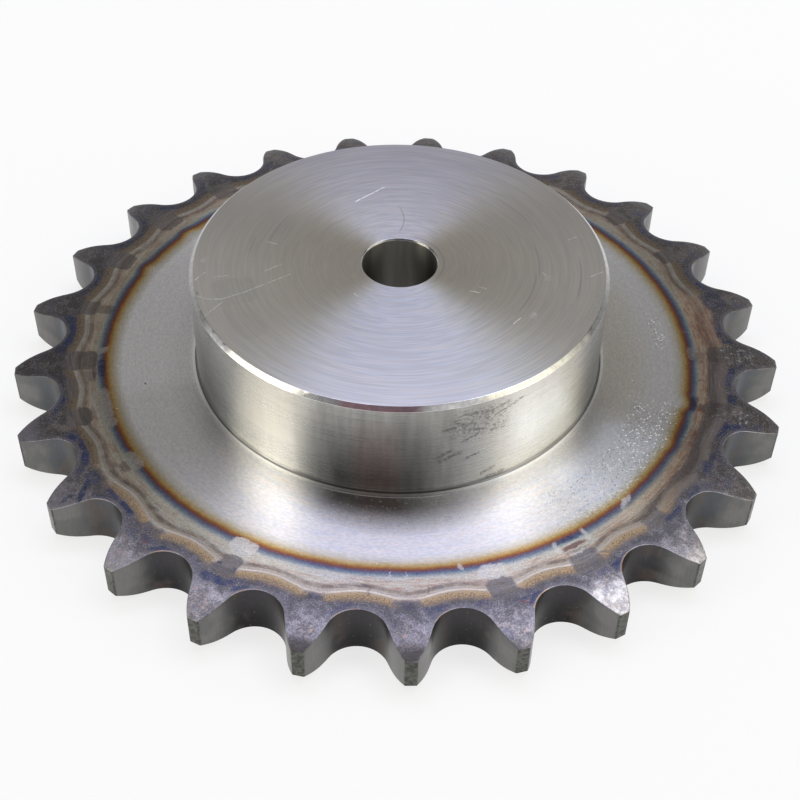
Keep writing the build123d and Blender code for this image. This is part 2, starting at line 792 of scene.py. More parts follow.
@dataclass(frozen=True)
class Mark:
    """A patch on a face, about round or, where it is large, more like a rectangle."""

    turn: float  # degrees to the right of the front tooth
    radius: float  # mm
    half_turn: float  # degrees
    half_reach: float  # mm
    strength: float = 0.8
    lean: float = 0.0  # degrees to the right for each mm outwards
    soft: float = 0.6  # mm


@dataclass(frozen=True)
class Scratch:
    """A straight scratch or smear, from one point to another."""

    start: tuple[float, float]  # mm
    end: tuple[float, float]  # mm
    width: float = 0.3  # mm


def table(kind: type, *rows: tuple) -> tuple:
    """Makes one of a kind from each row of its values."""
    return tuple(kind(*row) for row in rows)


class Patterns:
    """The node groups that the finishes share, built once."""

    SOFTNESS = 1.6  # how far a mark's edge fades, as a share of the mark for each share that it asks for
    MOST_SOFT = 0.85

    def __init__(self, sizes: SprocketSizes) -> None:
        """Args:
            sizes: the sprocket's sizes.
        """
        self.sizes = sizes
        self.polar = self._polar()
        self.teeth = self._teeth()
        self.blot = self._blot()
        self.scratch = self._scratch()
        self.grit = self._grit()
        self.turning = self._turning()

    def _polar(self) -> bpy.types.NodeTree:
        """A point's place about the bore's axis."""
        group = Group(
            "polar_place", {}, {"Point": "Vector", "Radius": "Float", "Turn": "Float", "Height": "Float",
                                "Round": "Vector"},
        )
        bench = group.bench
        point = bench.vector("SCALE", bench.add("TexCoord").outputs["Object"], scale=1 / MM)
        x, y, z = bench.split(point)
        flat = bench.join(x, y, 0.0)
        turn = bench.math("DEGREES", bench.math("ARCTAN2", x, bench.times(y, -1.0)))
        return group.give(
            Point=point, Radius=bench.vector("LENGTH", flat), Turn=turn, Height=z,
            Round=bench.vector("NORMALIZE", flat),
        )

    def _teeth(self) -> bpy.types.NodeTree:
        """A point's place on its tooth, and how far it is from the outline of the teeth."""
        sizes = self.sizes
        group = Group(
            "tooth_place", {"Radius": "Float", "Turn": "Float"},
            {"Off Tooth": "Float", "Wave": "Float", "Edge": "Float"},
        )
        bench = group.bench
        pitch = math.degrees(sizes.pitch_angle)
        turned = bench.math("DIVIDE", group.given["Turn"], pitch)
        whole = bench.math("ROUND", turned)
        off = bench.minus(turned, whole)
        off_gap = bench.minus(0.5, bench.math("ABSOLUTE", off))
        angle = bench.times(off_gap, sizes.pitch_angle)
        radius = group.given["Radius"]
        across = bench.times(radius, bench.math("SINE", angle))
        along = bench.times(radius, bench.math("COSINE", angle))
        here = bench.join(across, along, 0.0)
        away = [
            bench.vector("LENGTH", bench.vector("SUBTRACT", here, tuple(centre / MM)))
            for centre in (Vector((0, sizes.seat_centre, 0)), sizes.flank_centre, sizes.topping_centre)
        ]
        joint = (sizes.seat_centre - sizes.seat_radius * math.cos(sizes.seating_angle / 2)) / MM
        from_flank = bench.minus(sizes.flank_radius / MM, away[1])
        from_flank = bench.plus(from_flank, bench.rise(radius, joint - 3.0, joint, 60.0, 0.0))
        from_topping = bench.minus(sizes.topping_radius / MM, away[2])
        outer = bench.math("GREATER_THAN", radius, sizes.pitch_radius / MM)
        from_side = bench.mix_value(outer, from_flank, from_topping)
        edge = bench.math("MINIMUM", bench.minus(away[0], sizes.seat_radius / MM), from_side)
        wave = bench.math("COSINE", bench.times(off, 2 * math.pi))
        return group.give(
            Off_Tooth=bench.times(off, pitch), Wave=wave,
            Edge=bench.math("MINIMUM", edge, bench.minus(sizes.tip_radius / MM, radius)),
        )

    @staticmethod
    def _blot() -> bpy.types.NodeTree:
        """A patch, from a place that is measured from its middle as a share of its half width and reach."""
        group = Group(
            "blot",
            {"Place": "Vector", "Scale": "Vector", "Shift": "Vector", "Inner": "Float", "Outer": "Float",
             "Strength": "Float", "Others": "Float"},
            {"Mask": "Float"},
        )
        bench, given = group.bench, group.given
        off = bench.vector("MULTIPLY_ADD", given["Place"], given["Scale"], given["Shift"])
        past = bench.vector("LENGTH", bench.vector("MULTIPLY", off, off))
        mask = bench.rise(past, given["Inner"], given["Outer"], given["Strength"], 0.0)
        return group.give(Mask=bench.most(mask, given["Others"]))

    def marked(self, bench: Bench, spread: Wire, marks: tuple[Mark, ...]) -> Wire:
        """Joins marks into one mask.

        Args:
            bench: the nodes that they are added to.
            spread: the turn in degrees and the radius in mm, as a vector.
            marks: the marks.

        Returns:
            The mask.
        """
        whole = 0.0
        for mark in marks:
            place = spread
            if mark.lean:
                _, out, _ = bench.split(spread)
                aside = bench.times(bench.minus(mark.radius, out), mark.lean)
                place = bench.vector("ADD", spread, bench.join(aside, 0.0, 0.0))
            width = math.radians(mark.half_turn) * mark.radius
            soft = min(self.MOST_SOFT, self.SOFTNESS * mark.soft / math.sqrt(width * mark.half_reach))
            whole = bench.group(
                self.blot, Place=place, Scale=(1 / mark.half_turn, 1 / mark.half_reach, 0.0),
                Shift=(-mark.turn / mark.half_turn, -mark.radius / mark.half_reach, 0.0),
                Inner=1.0 - soft, Outer=1.0 + soft, Strength=mark.strength, Others=whole,
            )["Mask"]
        return whole

    @staticmethod
    def _scratch() -> bpy.types.NodeTree:
        """A scratch from one point to another, in width by the wobble."""
        group = Group(
            "scratch",
            {"Point": "Vector", "Start": "Vector", "End": "Vector", "Width": "Float", "Wobble": "Float"},
            {"Mask": "Float"},
        )
        bench, given = group.bench, group.given
        reach = bench.vector("SUBTRACT", given["Point"], given["Start"])
        whole = bench.vector("SUBTRACT", given["End"], given["Start"])
        share = bench.math(
            "DIVIDE", bench.vector("DOT_PRODUCT", reach, whole), bench.vector("DOT_PRODUCT", whole, whole),
            clamp=True,
        )
        nearest = bench.vector("SCALE", whole, scale=share)
        gap = bench.vector("LENGTH", bench.vector("SUBTRACT", reach, nearest))
        thin = bench.times(given["Width"], bench.rise(given["Wobble"], 0.3, 0.7, 0.1, 1.5))
        return group.give(Mask=bench.rise(gap, bench.times(thin, 0.2), thin, 1.0, 0.0))

    @staticmethod
    def _grit() -> bpy.types.NodeTree:
        """Scattered specks of one size: each cell has one with the chance Share."""
        group = Group(
            "grit", {"Point": "Vector", "Spacing": "Float", "Size": "Float", "Share": "Float"},
            {"Mask": "Float"},
        )
        bench, given = group.bench, group.given
        cells = bench.add("TexVoronoi", feature="F1", voronoi_dimensions="3D")
        bench.feed(cells.inputs["Vector"], given["Point"])
        bench.feed(cells.inputs["Scale"], bench.math("DIVIDE", 1.0, given["Spacing"]))
        lot, other, _ = bench.channels(cells.outputs["Color"])
        distance = bench.times(cells.outputs["Distance"], given["Spacing"])
        size = bench.times(given["Size"], bench.rise(other, 0.0, 1.0, 0.4, 1.2))
        inside = bench.rise(distance, bench.times(size, 0.6), size, 1.0, 0.0)
        chosen = bench.math("LESS_THAN", lot, given["Share"])
        return group.give(Mask=bench.times(inside, chosen))

    @staticmethod
    def _turning() -> bpy.types.NodeTree:
        """The fine rings that a lathe leaves, with a few deeper ones, broken up around the axis."""
        group = Group(
            "turning_rings", {"Round": "Vector", "Travel": "Float", "Pitch": "Float"},
            {"Ring": "Float", "Deep": "Float"},
        )
        bench, given = group.bench, group.given
        travel = bench.math("DIVIDE", given["Travel"], given["Pitch"])
        ring = bench.noise(bench.around(given["Round"], 0.9, travel), 1.0, detail=1.0, roughness=0.6)
        deep = bench.noise(bench.around(given["Round"], 1.6, travel, 0.5), 1.0, detail=1.0, roughness=0.8)
        return group.give(Ring=ring, Deep=bench.rise(deep, 0.62, 0.72))


@dataclass(frozen=True)
class HeatPalette:
    """The colours of steel by how hot it has been."""

    steel: Colour = STEEL
    pale: Colour = (0.52, 0.50, 0.42)
    tan: Colour = (0.46, 0.365, 0.29)
    rust: Colour = (0.30, 0.18, 0.14)
    plum: Colour = (0.13, 0.06, 0.065)
    line_dark: Colour = (0.20, 0.165, 0.14)
    line_light: Colour = (0.42, 0.385, 0.335)
    gold_light: Colour = (0.42, 0.35, 0.26)
    gold: Colour = (0.42, 0.31, 0.185)
    gold_dark: Colour = (0.16, 0.115, 0.085)
    lilac: Colour = (0.165, 0.158, 0.170)
    lilac_light: Colour = (0.285, 0.27, 0.285)
    brown: Colour = (0.155, 0.135, 0.122)
    umber: Colour = (0.088, 0.080, 0.076)
    slate: Colour = (0.100, 0.096, 0.103)
    blue: Colour = (0.028, 0.042, 0.100)
    peach: Colour = (0.40, 0.28, 0.215)
    bare: Colour = (0.52, 0.505, 0.49)
    burr: Colour = (0.42, 0.24, 0.10)
    # white of dust specks, which also stand in as painted glints
    dust: Colour = (0.95, 0.95, 0.95)


class HeatColours:
    """The node group that colours the plate's sides, from bare steel out to the scale on the teeth."""

    # where the teeth's heat ended: by the radius in mm, each colour as a share of bare steel's
    FRONT = (
        (95.5, (1.0, 1.0, 1.0)),
        (97.3, (0.91, 0.90, 0.84)),
        (98.3, (0.85, 0.80, 0.69)),
        (99.3, (0.74, 0.62, 0.39)),
        (100.2, (0.64, 0.46, 0.19)),
        (101.0, (0.47, 0.225, 0.075)),
        (101.6, (0.31, 0.125, 0.08)),
        (102.1, (0.22, 0.13, 0.16)),
        (102.7, (0.18, 0.18, 0.27)),
        (103.3, (0.22, 0.28, 0.37)),
        (104.0, (0.39, 0.45, 0.47)),
        (105.2, (0.71, 0.72, 0.68)),
    )
    # where it is pushed out behind single teeth: turn, half width in degrees, reach in mm
    BULGES = ((60.0, 3.6, 0.8), (72.0, 3.0, 1.6), (-129.6, 3.4, 1.3), (-115.2, 3.2, 1.2))
    # what handling left, each mark by the values of Mark in their order
    BARES = table(
        Mark, (-28.6, 104.3, 2.5, 2.9, 0.85), (-11.9, 106.1, 3.3, 1.7, 0.6, 0.0, 1.3),
        (-3.1, 103.9, 0.18, 1.5, 0.8, 0.0, 0.3), (-0.4, 103.6, 0.16, 1.3, 0.7, 0.0, 0.3),
        (8.9, 101.8, 0.45, 1.2, 0.6, 0.0, 0.4), (14.0, 105.4, 2.4, 2.5, 0.85),
        (18.6, 105.9, 2.0, 1.4, 0.35, 0.0, 1.2), (26.1, 104.4, 0.45, 2.4, 0.65, 0.0, 0.5),
        (32.1, 104.2, 0.4, 2.8, 0.65, 0.0, 0.5), (28.9, 109.8, 1.5, 1.3),
        (43.0, 102.3, 1.2, 1.2, 0.75, -0.8), (41.0, 105.0, 0.6, 1.6, 0.5, -0.5),
        (86.6, 103.8, 1.8, 2.6, 0.4), (93.0, 104.0, 0.15, 2.2, 0.4, 0.0, 0.4),
        (-88.8, 103.6, 0.8, 2.5, 0.7, 0.2), (-74.0, 103.9, 4.2, 3.0, 0.75, 0.0, 1.2),
        (-68.9, 104.0, 1.1, 3.0, 0.75), (-57.8, 103.2, 2.3, 2.9, 0.75, 0.0, 0.9),
    )
    BLOCKS = table(
        Mark, (-28.7, 111.9, 1.7, 3.6), (14.3, 112.5, 2.2, 4.0, 0.85), (28.9, 113.2, 2.6, 4.3, 0.85),
        (43.3, 113.3, 2.2, 3.4, 0.7), (72.0, 112.2, 1.9, 5.0, 0.6), (86.4, 113.2, 2.0, 5.0, 0.6),
        (-100.8, 106.2, 1.3, 3.1, 0.6), (-100.8, 112.0, 1.9, 3.2, 0.75), (-86.4, 109.8, 2.5, 5.6),
        (-72.0, 112.4, 2.2, 4.4, 0.85), (115.2, 113.4, 2.0, 4.0), (129.6, 113.0, 2.0, 4.0),
        (-144.0, 112.6, 2.4, 4.8), (-129.6, 113.0, 2.7, 5.4), (-115.2, 112.4, 2.4, 5.2),
        (-79.4, 113.4, 2.6, 2.2, 0.75), (3.0, 109.5, 0.2, 1.6, 0.6), (-6.2, 110.2, 0.15, 1.6, 0.6),
        (32.2, 112.6, 0.5, 2.4, 0.55, 0.9),
    )
    BLUES = table(
        Mark, (-29.2, 118.9, 2.3, 1.3, 0.85), (-27.2, 117.8, 0.9, 0.6, 0.7), (-30.2, 112.9, 0.35, 0.7),
        (-27.5, 112.9, 0.35, 0.7, 0.7), (-14.3, 114.4, 1.0, 1.5, 0.55), (-0.3, 114.8, 1.0, 1.8, 0.5),
        (-7.1, 108.4, 0.9, 0.6, 0.45), (4.6, 108.5, 0.9, 0.7, 0.6), (2.9, 116.6, 1.6, 0.5, 0.4),
        (28.9, 102.9, 2.5, 0.9, 0.75), (28.9, 107.9, 2.3, 0.4, 0.6), (17.0, 117.8, 1.3, 0.5, 0.7),
        (32.6, 118.4, 1.2, 0.7, 0.7), (46.2, 116.4, 2.0, 1.0, 0.75), (51.8, 116.9, 1.6, 1.2, 0.65),
        (59.4, 115.6, 2.4, 1.2, 0.6), (68.2, 115.7, 1.4, 0.9, 0.85), (75.3, 116.4, 1.1, 1.6),
        (82.4, 116.0, 0.7, 1.1, 0.9), (89.8, 116.4, 0.5, 1.9, 0.75), (91.8, 114.0, 0.7, 1.3, 0.6),
        (72.4, 103.9, 1.9, 1.4, 0.75), (65.0, 103.4, 2.4, 0.7, 0.5), (101.0, 118.0, 2.2, 4.0, 0.5),
        (-93.4, 114.9, 2.8, 1.2, 0.75), (-97.2, 116.4, 0.9, 1.8, 0.65), (-89.4, 117.4, 0.9, 1.9, 0.6),
        (-83.9, 102.8, 2.6, 1.3, 0.85), (-82.4, 106.4, 1.6, 1.5, 0.55), (-68.2, 115.6, 1.0, 1.5, 0.5),
        (-65.0, 114.7, 2.3, 0.9), (-61.6, 116.4, 0.9, 1.4, 0.65), (-57.9, 116.8, 1.5, 1.8, 0.6),
        (-56.6, 121.4, 0.55, 4.0, 0.95, 0.35), (-56.8, 127.2, 0.25, 2.2), (-53.0, 115.2, 1.7, 0.9),
        (-49.2, 115.0, 1.8, 0.8, 0.85), (-42.3, 118.5, 0.9, 0.9, 0.75), (-45.8, 108.9, 0.6, 0.6, 0.5),
        (-53.8, 109.3, 0.9, 0.3, 0.45), (8.0, 117.4, 1.0, 0.5, 0.45),
    )
    PLUMS = table(
        Mark, (-30.4, 101.5, 0.3, 0.35, 0.9, 0.0, 0.3), (-77.7, 88.7, 0.32, 0.4, 0.9, 0.0, 0.3),
        (28.9, 106.1, 2.3, 0.8), (-57.2, 106.6, 1.3, 1.6, 0.55), (-58.8, 108.8, 0.9, 0.9, 0.4),
        (-82.8, 105.2, 2.2, 0.7, 0.55), (71.8, 106.6, 1.1, 1.0, 0.65), (79.0, 106.0, 0.15, 1.4, 0.6),
        (-72.4, 107.4, 1.6, 0.7, 0.3), (17.0, 119.4, 0.5, 1.3, 0.6, 0.7), (-42.0, 119.6, 0.7, 0.5, 0.6),
        (85.4, 105.6, 1.6, 1.6, 0.35),
    )
    SCRAPES = table(
        Mark, (71.4, 120.6, 1.6, 3.4, 0.9), (71.2, 113.6, 1.4, 3.0, 0.6), (86.2, 118.4, 1.8, 7.0, 0.75),
        (84.0, 130.0, 0.6, 2.6, 0.9), (64.6, 120.0, 0.5, 3.4, 0.9, 0.3),
        (46.6, 125.4, 2.4, 0.7, 1.0, 0.4), (-68.0, 121.0, 1.4, 2.6, 0.5),
        (52.0, 120.0, 0.4, 5.0, 0.8, 0.6),
    )
    FRONT_SIDE = (13.0, 14.0)  # the height in mm at which the front's marks begin
    SIDES = (44.0, 66.0)  # how far round the colours of the sides begin, in degrees either way
    # parts of the way round: start, end and fade, in degrees to the right of the front tooth
    RIGHT = (54.0, 96.0, 12.0)
    WARM = (-10.0, 34.0, 10.0)
    FAR_RIGHT = (72.0, 100.0, 8.0)
    VIOLET = (46.0, 84.0, 8.0)
    WORN = (24.0, 47.0, 4.0)
    DARK_TIPS = (-22.0, 10.0, 5.0)
    SILVER = (-75.0, -42.0, 6.0)
    DULL_LEFT = (-150.0, -82.0, 8.0)
    BRIGHT_RIGHT = (72.0, 98.0, 8.0)
    # how much of a burr each gap's left edge has, by the turn of the tooth beside it
    BURRS = ((-43.2, 0.9), (-28.8, 0.75), (-14.4, 0.45), (0.0, 0.4), (14.4, 1.0), (28.8, 0.9), (-57.6, 0.4))

    def __init__(self, patterns: Patterns, palette: HeatPalette) -> None:
        """Args:
            patterns: the shared groups.
            palette: the colours.
        """
        self.patterns = patterns
        self.palette = palette
        sockets = {
            "Point": "Vector", "Radius": "Float", "Turn": "Float", "Height": "Float", "Round": "Vector",
            "Off Tooth": "Float", "Wave": "Float", "Edge": "Float",
        }
        group = Group("heat_colours", sockets, {"Color": "Color", "Roughness": "Float", "Relief": "Float"})
        bench = self.bench = group.bench
        self.place = Place(*(group.given[name] for name in sockets))
        place = self.place
        self.coarse = bench.noise(place.point, scale=0.13, detail=2.0)
        self.cloud = bench.noise(place.point, scale=0.26, detail=3.0, roughness=0.6)
        self.middle = bench.noise(place.point, scale=0.55, detail=4.0, roughness=0.7)
        self.fine = bench.noise(place.point, scale=2.1, detail=1.0, roughness=0.6)
        wrapped = bench.around(place.round, 11.0, place.radius, 1.5)
        self.streak = bench.noise(wrapped, 1.0, detail=3.0, roughness=0.65)
        shift, slide = bench.drift(place.point, 0.42)
        self.out = bench.math("MULTIPLY_ADD", shift, 3.0, place.radius)
        self.spread = bench.join(bench.math("MULTIPLY_ADD", slide, 1.7, place.turn), self.out, 0.0)
        self.place = place = place.after(bench, self.out)
        self.coarse, self.cloud, self.middle, self.fine, self.streak = bench.after(
            self.out, self.coarse, self.cloud, self.middle, self.fine, self.streak
        )
        sizes = patterns.sizes
        ridge = bench.math("MULTIPLY_ADD", place.wave, sizes.ridge_swing / MM, sizes.ridge_middle / MM)
        self.past_ridge = bench.minus(place.radius, ridge)
        self.front_side = bench.rise(place.height, *self.FRONT_SIDE)
        self.right = self._arc(self.RIGHT)
        self.sides = bench.rise(bench.math("ABSOLUTE", place.turn), *self.SIDES)
        colour = self._heat_front()
        colour = self._pale_band(colour)
        colour = self._scale(colour)
        colour = self._golden_band(colour)
        colour = self._ridge_lines(colour)
        colour, worn = self._marks(colour)
        colour = self._burrs(colour)
        grain = bench.rise(self.fine, 0.3, 0.7, 0.86, 1.14)
        grain = bench.mix_value(bench.rise(place.radius, 97.0, 101.0), 1.0, grain)
        colour = bench.tint(1.0, colour, bench.join(grain, grain, grain))
        rough = bench.rise(self.past_ridge, -1.0, 3.0, 0.278, 0.42)
        rough = bench.plus(rough, bench.times(worn, 0.06))
        relief = bench.plus(bench.times(self.middle, 0.6), bench.times(self.fine, 0.5))
        scaled = bench.rise(self.past_ridge, -5.0, 3.0, 0.08, 1.0)
        self.tree = group.give(Color=colour, Roughness=rough, Relief=bench.times(relief, scaled))

    def _arc(self, part: Part) -> Wire:
        """Marks out part of the way round."""
        return self.bench.window(self.place.turn, *part)

    def _shift(self, value: Wire, *shifts: tuple[Wire, float]) -> Wire:
        """Moves a number by noises.

        Args:
            value: the number.
            shifts: each noise with the range of its shift, half of it either way.

        Returns:
            The moved number.
        """
        bench = self.bench
        for noise, amount in shifts:
            value = bench.plus(value, bench.times(bench.minus(noise, 0.5), amount))
        return value

    def _bulge(self, turn: float, half: float, reach: float) -> Wire:
        """How far the heat's front is pushed out behind one tooth.

        Args:
            turn: the tooth's place.
            half: half of the bulge's width in degrees.
            reach: its depth in mm.

        Returns:
            The shift.
        """
        bench = self.bench
        away = bench.math("ABSOLUTE", bench.minus(self.place.turn, turn))
        return bench.rise(away, 0.0, half, reach, 0.0)

    def _heat_front(self) -> Wire:
        """The colours at which the heat ended: straw, amber, russet, violet, blue, then pale."""
        bench = self.bench
        at = self._shift(self.place.radius, (self.middle, 0.9), (self.coarse, 0.9), (self.fine, 0.25))
        for bulge in self.BULGES:
            at = bench.minus(at, self._bulge(*bulge))
        low, high = self.FRONT[0][0], self.FRONT[-1][0]
        stops = [((radius - low) / (high - low), share) for radius, share in self.FRONT]
        return bench.tint(1.0, self.palette.steel, bench.ramp(bench.rise_linear(at, low, high), stops))

    def _pale_band(self, colour: Wire) -> Wire:
        """The pale band inside the ridge, streaked with tan and rust, and dull violet at the right."""
        bench, palette = self.bench, self.palette
        warm = bench.plus(self.streak, bench.rise(self.past_ridge, -6.0, -1.5, 0.0, 0.10))
        warm = self._shift(warm, (self.cloud, 0.55))
        warm = bench.plus(warm, bench.times(self._arc(self.WARM), 0.11))
        warm = bench.plus(warm, bench.times(self.sides, 0.12))
        warm = bench.plus(warm, bench.times(self.right, 0.16))
        band = bench.mix(bench.rise(warm, 0.54, 0.80), palette.pale, palette.tan)
        band = bench.mix(bench.rise(warm, 0.80, 0.96, 0.0, 0.7), band, palette.rust)
        band = bench.tint(bench.times(self.sides, 0.85), band, (0.80, 0.77, 0.74))
        band = bench.tint(self._arc(self.FAR_RIGHT), band, (1.30, 1.24, 1.20))
        band = bench.tint(bench.rise(self.past_ridge, -3.6, -1.6, 0.0, 0.8), band, (0.78, 0.76, 0.76))
        violet = bench.rise(self._shift(self.out, (self.streak, 2.5)), 107.2, 108.8)
        dull = bench.mix(bench.rise(self.middle, 0.38, 0.62), palette.lilac, palette.brown)
        dull = bench.mix(bench.rise(self.streak, 0.50, 0.70, 0.0, 0.7), dull, palette.lilac_light)
        right = bench.times(violet, self._arc(self.VIOLET))
        band = bench.mix(bench.times(right, 0.85), band, dull)
        inside = bench.rise(self.place.radius, 104.2, 105.4)
        return bench.mix(inside, colour, band)

    def _scale(self, colour: Wire) -> Wire:
        """The dark scale from the ridge out to the tips, lilac at the front and brown elsewhere."""
        bench, palette, place = self.bench, self.palette, self.place
        blotch = bench.rise(self._shift(self.cloud, (self.middle, 0.35)), 0.40, 0.62)
        tops = bench.rise(self._shift(place.radius, (self.cloud, 7.0)), 119.0, 126.0)
        front = bench.mix(blotch, palette.slate, palette.lilac)
        front = bench.mix(bench.rise(self.coarse, 0.50, 0.62, 0.0, 0.6), front, palette.brown)
        lighter = bench.times(tops, bench.rise(blotch, 0.0, 1.0, 0.35, 0.95))
        front = bench.mix(lighter, front, palette.lilac_light)
        warm = bench.times(bench.rise(self.middle, 0.54, 0.66), tops)
        front = bench.mix(bench.times(warm, 0.6), front, palette.peach)
        brown = bench.mix(blotch, palette.umber, palette.brown)
        brown = bench.mix(bench.rise(self.fine, 0.62, 0.74, 0.0, 0.35), brown, palette.lilac_light)
        scale = bench.mix(self.sides, front, brown)
        blue = bench.times(bench.rise(self.coarse, 0.50, 0.66), bench.rise(self.cloud, 0.48, 0.60))
        scale = bench.mix(bench.times(blue, 0.45), scale, palette.blue)
        by_gap = bench.window(place.edge, 1.4, 3.0, 1.2)
        by_gap = bench.times(by_gap, bench.rise(self.cloud, 0.44, 0.60, 0.0, 0.75))
        by_gap = bench.times(by_gap, bench.rise(place.radius, 119.0, 122.0, 0.8, 0.25))
        scale = bench.mix(
            bench.times(by_gap, bench.rise(self.sides, 0.0, 1.0, 0.25, 1.0)), scale, palette.blue
        )
        crisp = bench.mix(bench.rise(self.fine, 0.38, 0.62), (0.88, 0.88, 0.90), (1.12, 1.11, 1.10))
        scale = bench.tint(1.0, scale, crisp)
        flecks = bench.times(
            bench.rise(self.fine, 0.64, 0.74, 0.0, 0.5), bench.rise(self.cloud, 0.45, 0.6, 0.3, 1.0)
        )
        scale = bench.mix(flecks, scale, (0.36, 0.36, 0.39))
        halo = bench.times(
            bench.window(place.edge, 0.2, 1.1, 0.5), bench.rise(place.radius, 121.0, 125.0, 0.5, 0.2)
        )
        scale = bench.mix(halo, scale, palette.lilac)
        worn = bench.minus(place.radius, bench.rise(place.turn, 33.0, 38.0, 0.0, 7.0))
        worn = bench.rise(self._shift(worn, (self.cloud, 8.0)), 119.5, 126.0)
        light = bench.mix(bench.rise(self.middle, 0.40, 0.60), palette.lilac_light, palette.bare)
        light = bench.mix(bench.rise(self.streak, 0.55, 0.7, 0.0, 0.5), light, palette.peach)
        scale = bench.mix(bench.times(worn, self._arc(self.WORN)), scale, light)
        dark = bench.rise(self._shift(place.radius, (self.middle, 5.0)), 127.5, 130.5, 0.0, 0.85)
        dark = bench.times(dark, self._arc(self.DARK_TIPS))
        scale = bench.mix(dark, scale, palette.umber)
        silver = bench.times(bench.rise(place.radius, 122.0, 131.0), self._arc(self.SILVER))
        scale = bench.mix(bench.times(silver, 0.6), scale, (0.26, 0.25, 0.28))
        scale = bench.tint(self._arc(self.DULL_LEFT), scale, (0.74, 0.76, 0.78))
        scale = bench.tint(self._arc(self.BRIGHT_RIGHT), scale, (1.22, 1.22, 1.22))
        behind = bench.rise(self._shift(place.wave, (self.cloud, 1.0)), 0.35, 0.85)
        outside = bench.math("MULTIPLY_ADD", behind, 2.0, self.past_ridge)
        outside = bench.rise(self._shift(outside, (self.middle, 2.6)), 2.4, 4.4)
        return bench.mix(outside, colour, scale)

    def _golden_band(self, colour: Wire) -> Wire:
        """The speckled golden band outside the ridge, broken behind most teeth."""
        bench, palette = self.bench, self.palette
        gold = bench.mix(bench.rise(self.past_ridge, 0.3, 2.0), palette.gold_light, palette.gold)
        specks = bench.plus(self.fine, bench.rise(self.past_ridge, 0.4, 4.4, -0.02, 0.20))
        specks = self._shift(specks, (self.middle, 0.16))
        gold = bench.mix(bench.rise(specks, 0.50, 0.76), gold, palette.gold_dark)
        gold = bench.tint(self.sides, gold, (0.50, 0.53, 0.58))
        outer = self._shift(self.past_ridge, (self.middle, 3.2), (self.fine, 1.2))
        band = bench.window(outer, 0.6, 2.9, 2.2)
        broken = bench.rise(self._shift(self.place.wave, (self.cloud, 1.8)), 0.40, 0.80, 1.0, 0.12)
        gone = bench.minus(1.0, bench.times(self.right, 0.8))
        band = bench.times(band, bench.times(broken, gone))
        return bench.mix(band, colour, gold)

    def _ridge_lines(self, colour: Wire) -> Wire:
        """The pale line along the ridge and the dark line on its inner side."""
        bench, palette = self.bench, self.palette
        at = self._shift(self.past_ridge, (self.middle, 0.6))
        shown = bench.minus(1.0, self.right)
        dark = bench.window(at, -1.9, -1.2, 0.7)
        dark = bench.times(dark, bench.rise(self.cloud, 0.35, 0.65, 0.25, 0.85))
        colour = bench.mix(bench.times(dark, shown), colour, palette.line_dark)
        light = bench.window(at, -0.55, 0.6, 0.6)
        light = bench.times(light, bench.rise(self.cloud, 0.35, 0.65, 0.85, 0.5))
        return bench.mix(bench.times(light, shown), colour, palette.line_light)

    def _mask(self, marks: tuple[Mark, ...]) -> Wire:
        """Joins marks into one mask, on the front side alone."""
        return self.bench.times(self.patterns.marked(self.bench, self.spread, marks), self.front_side)

    def _marks(self, colour: Wire) -> tuple[Wire, Wire]:
        """What handling left on the front: bare patches, dark blocks, blue and plum stains and scrapes."""
        bench, palette = self.bench, self.palette
        bare = bench.times(self._mask(self.BARES), bench.rise(self.middle, 0.32, 0.52, 0.60, 1.0))
        worn = bench.mix(bench.rise(self.streak, 0.40, 0.66), palette.bare, palette.pale)
        worn = bench.tint(bench.times(self.sides, 0.9), worn, (0.80, 0.78, 0.74))
        colour = bench.mix(bare, colour, worn)
        block = self._mask(self.BLOCKS)
        dark = bench.mix(bench.rise(self.streak, 0.35, 0.65), palette.umber, palette.brown)
        light = bench.mix(bench.rise(self.streak, 0.35, 0.65), palette.slate, palette.lilac)
        light = bench.mix(bench.rise(self.cloud, 0.45, 0.6, 0.0, 0.7), light, palette.brown)
        colour = bench.mix(block, colour, bench.mix(self.sides, light, dark))
        blue = bench.times(self._mask(self.BLUES), bench.rise(self.middle, 0.30, 0.62, 1.0, 0.55))
        colour = bench.mix(blue, colour, palette.blue)
        colour = bench.mix(self._mask(self.PLUMS), colour, palette.plum)
        scrape = bench.times(self._mask(self.SCRAPES), bench.rise(self.middle, 0.54, 0.66))
        scrape = bench.times(scrape, bench.rise(self.fine, 0.40, 0.60, 0.35, 1.0))
        colour = bench.mix(scrape, colour, palette.bare)
        return colour, bench.most(bare, block)

    def _burrs(self, colour: Wire) -> Wire:
        """The golden burr along the left edge of some gaps, and the thin bright line along the others."""
        bench, palette, place = self.bench, self.palette, self.place
        by_edge = self._shift(place.edge, (self.middle, 0.7))
        tooth = bench.minus(place.turn, place.off_tooth)
        there = 0.0
        for turn, share in self.BURRS:
            near = bench.math("COMPARE", tooth, turn, 1.0)
            there = bench.math("MULTIPLY_ADD", near, share, there)
        there = bench.times(there, bench.math("GREATER_THAN", place.off_tooth, 0.0))
        here = bench.times(there, bench.window(self.out, 117.4, 121.5, 0.9))
        stain = bench.times(
            bench.window(by_edge, 0.9, 1.6, 0.8), bench.rise(self.out, 119.5, 121.5, 0.75, 0.0)
        )
        colour = bench.mix(bench.times(stain, here), colour, palette.blue)
        burr = bench.times(
            bench.rise(by_edge, 0.25, 0.7, 1.0, 0.0), bench.rise(self.middle, 0.38, 0.56, 0.2, 0.9)
        )
        hot = bench.mix(bench.rise(by_edge, 0.0, 0.35), palette.gold_light, palette.burr)
        colour = bench.mix(bench.times(burr, here), colour, hot)
        thin = bench.times(
            bench.rise(by_edge, 0.15, 0.45, 1.0, 0.0), bench.rise(self.cloud, 0.40, 0.60, 0.2, 0.9)
        )
        return bench.mix(bench.times(thin, 0.8), colour, palette.lilac_light)


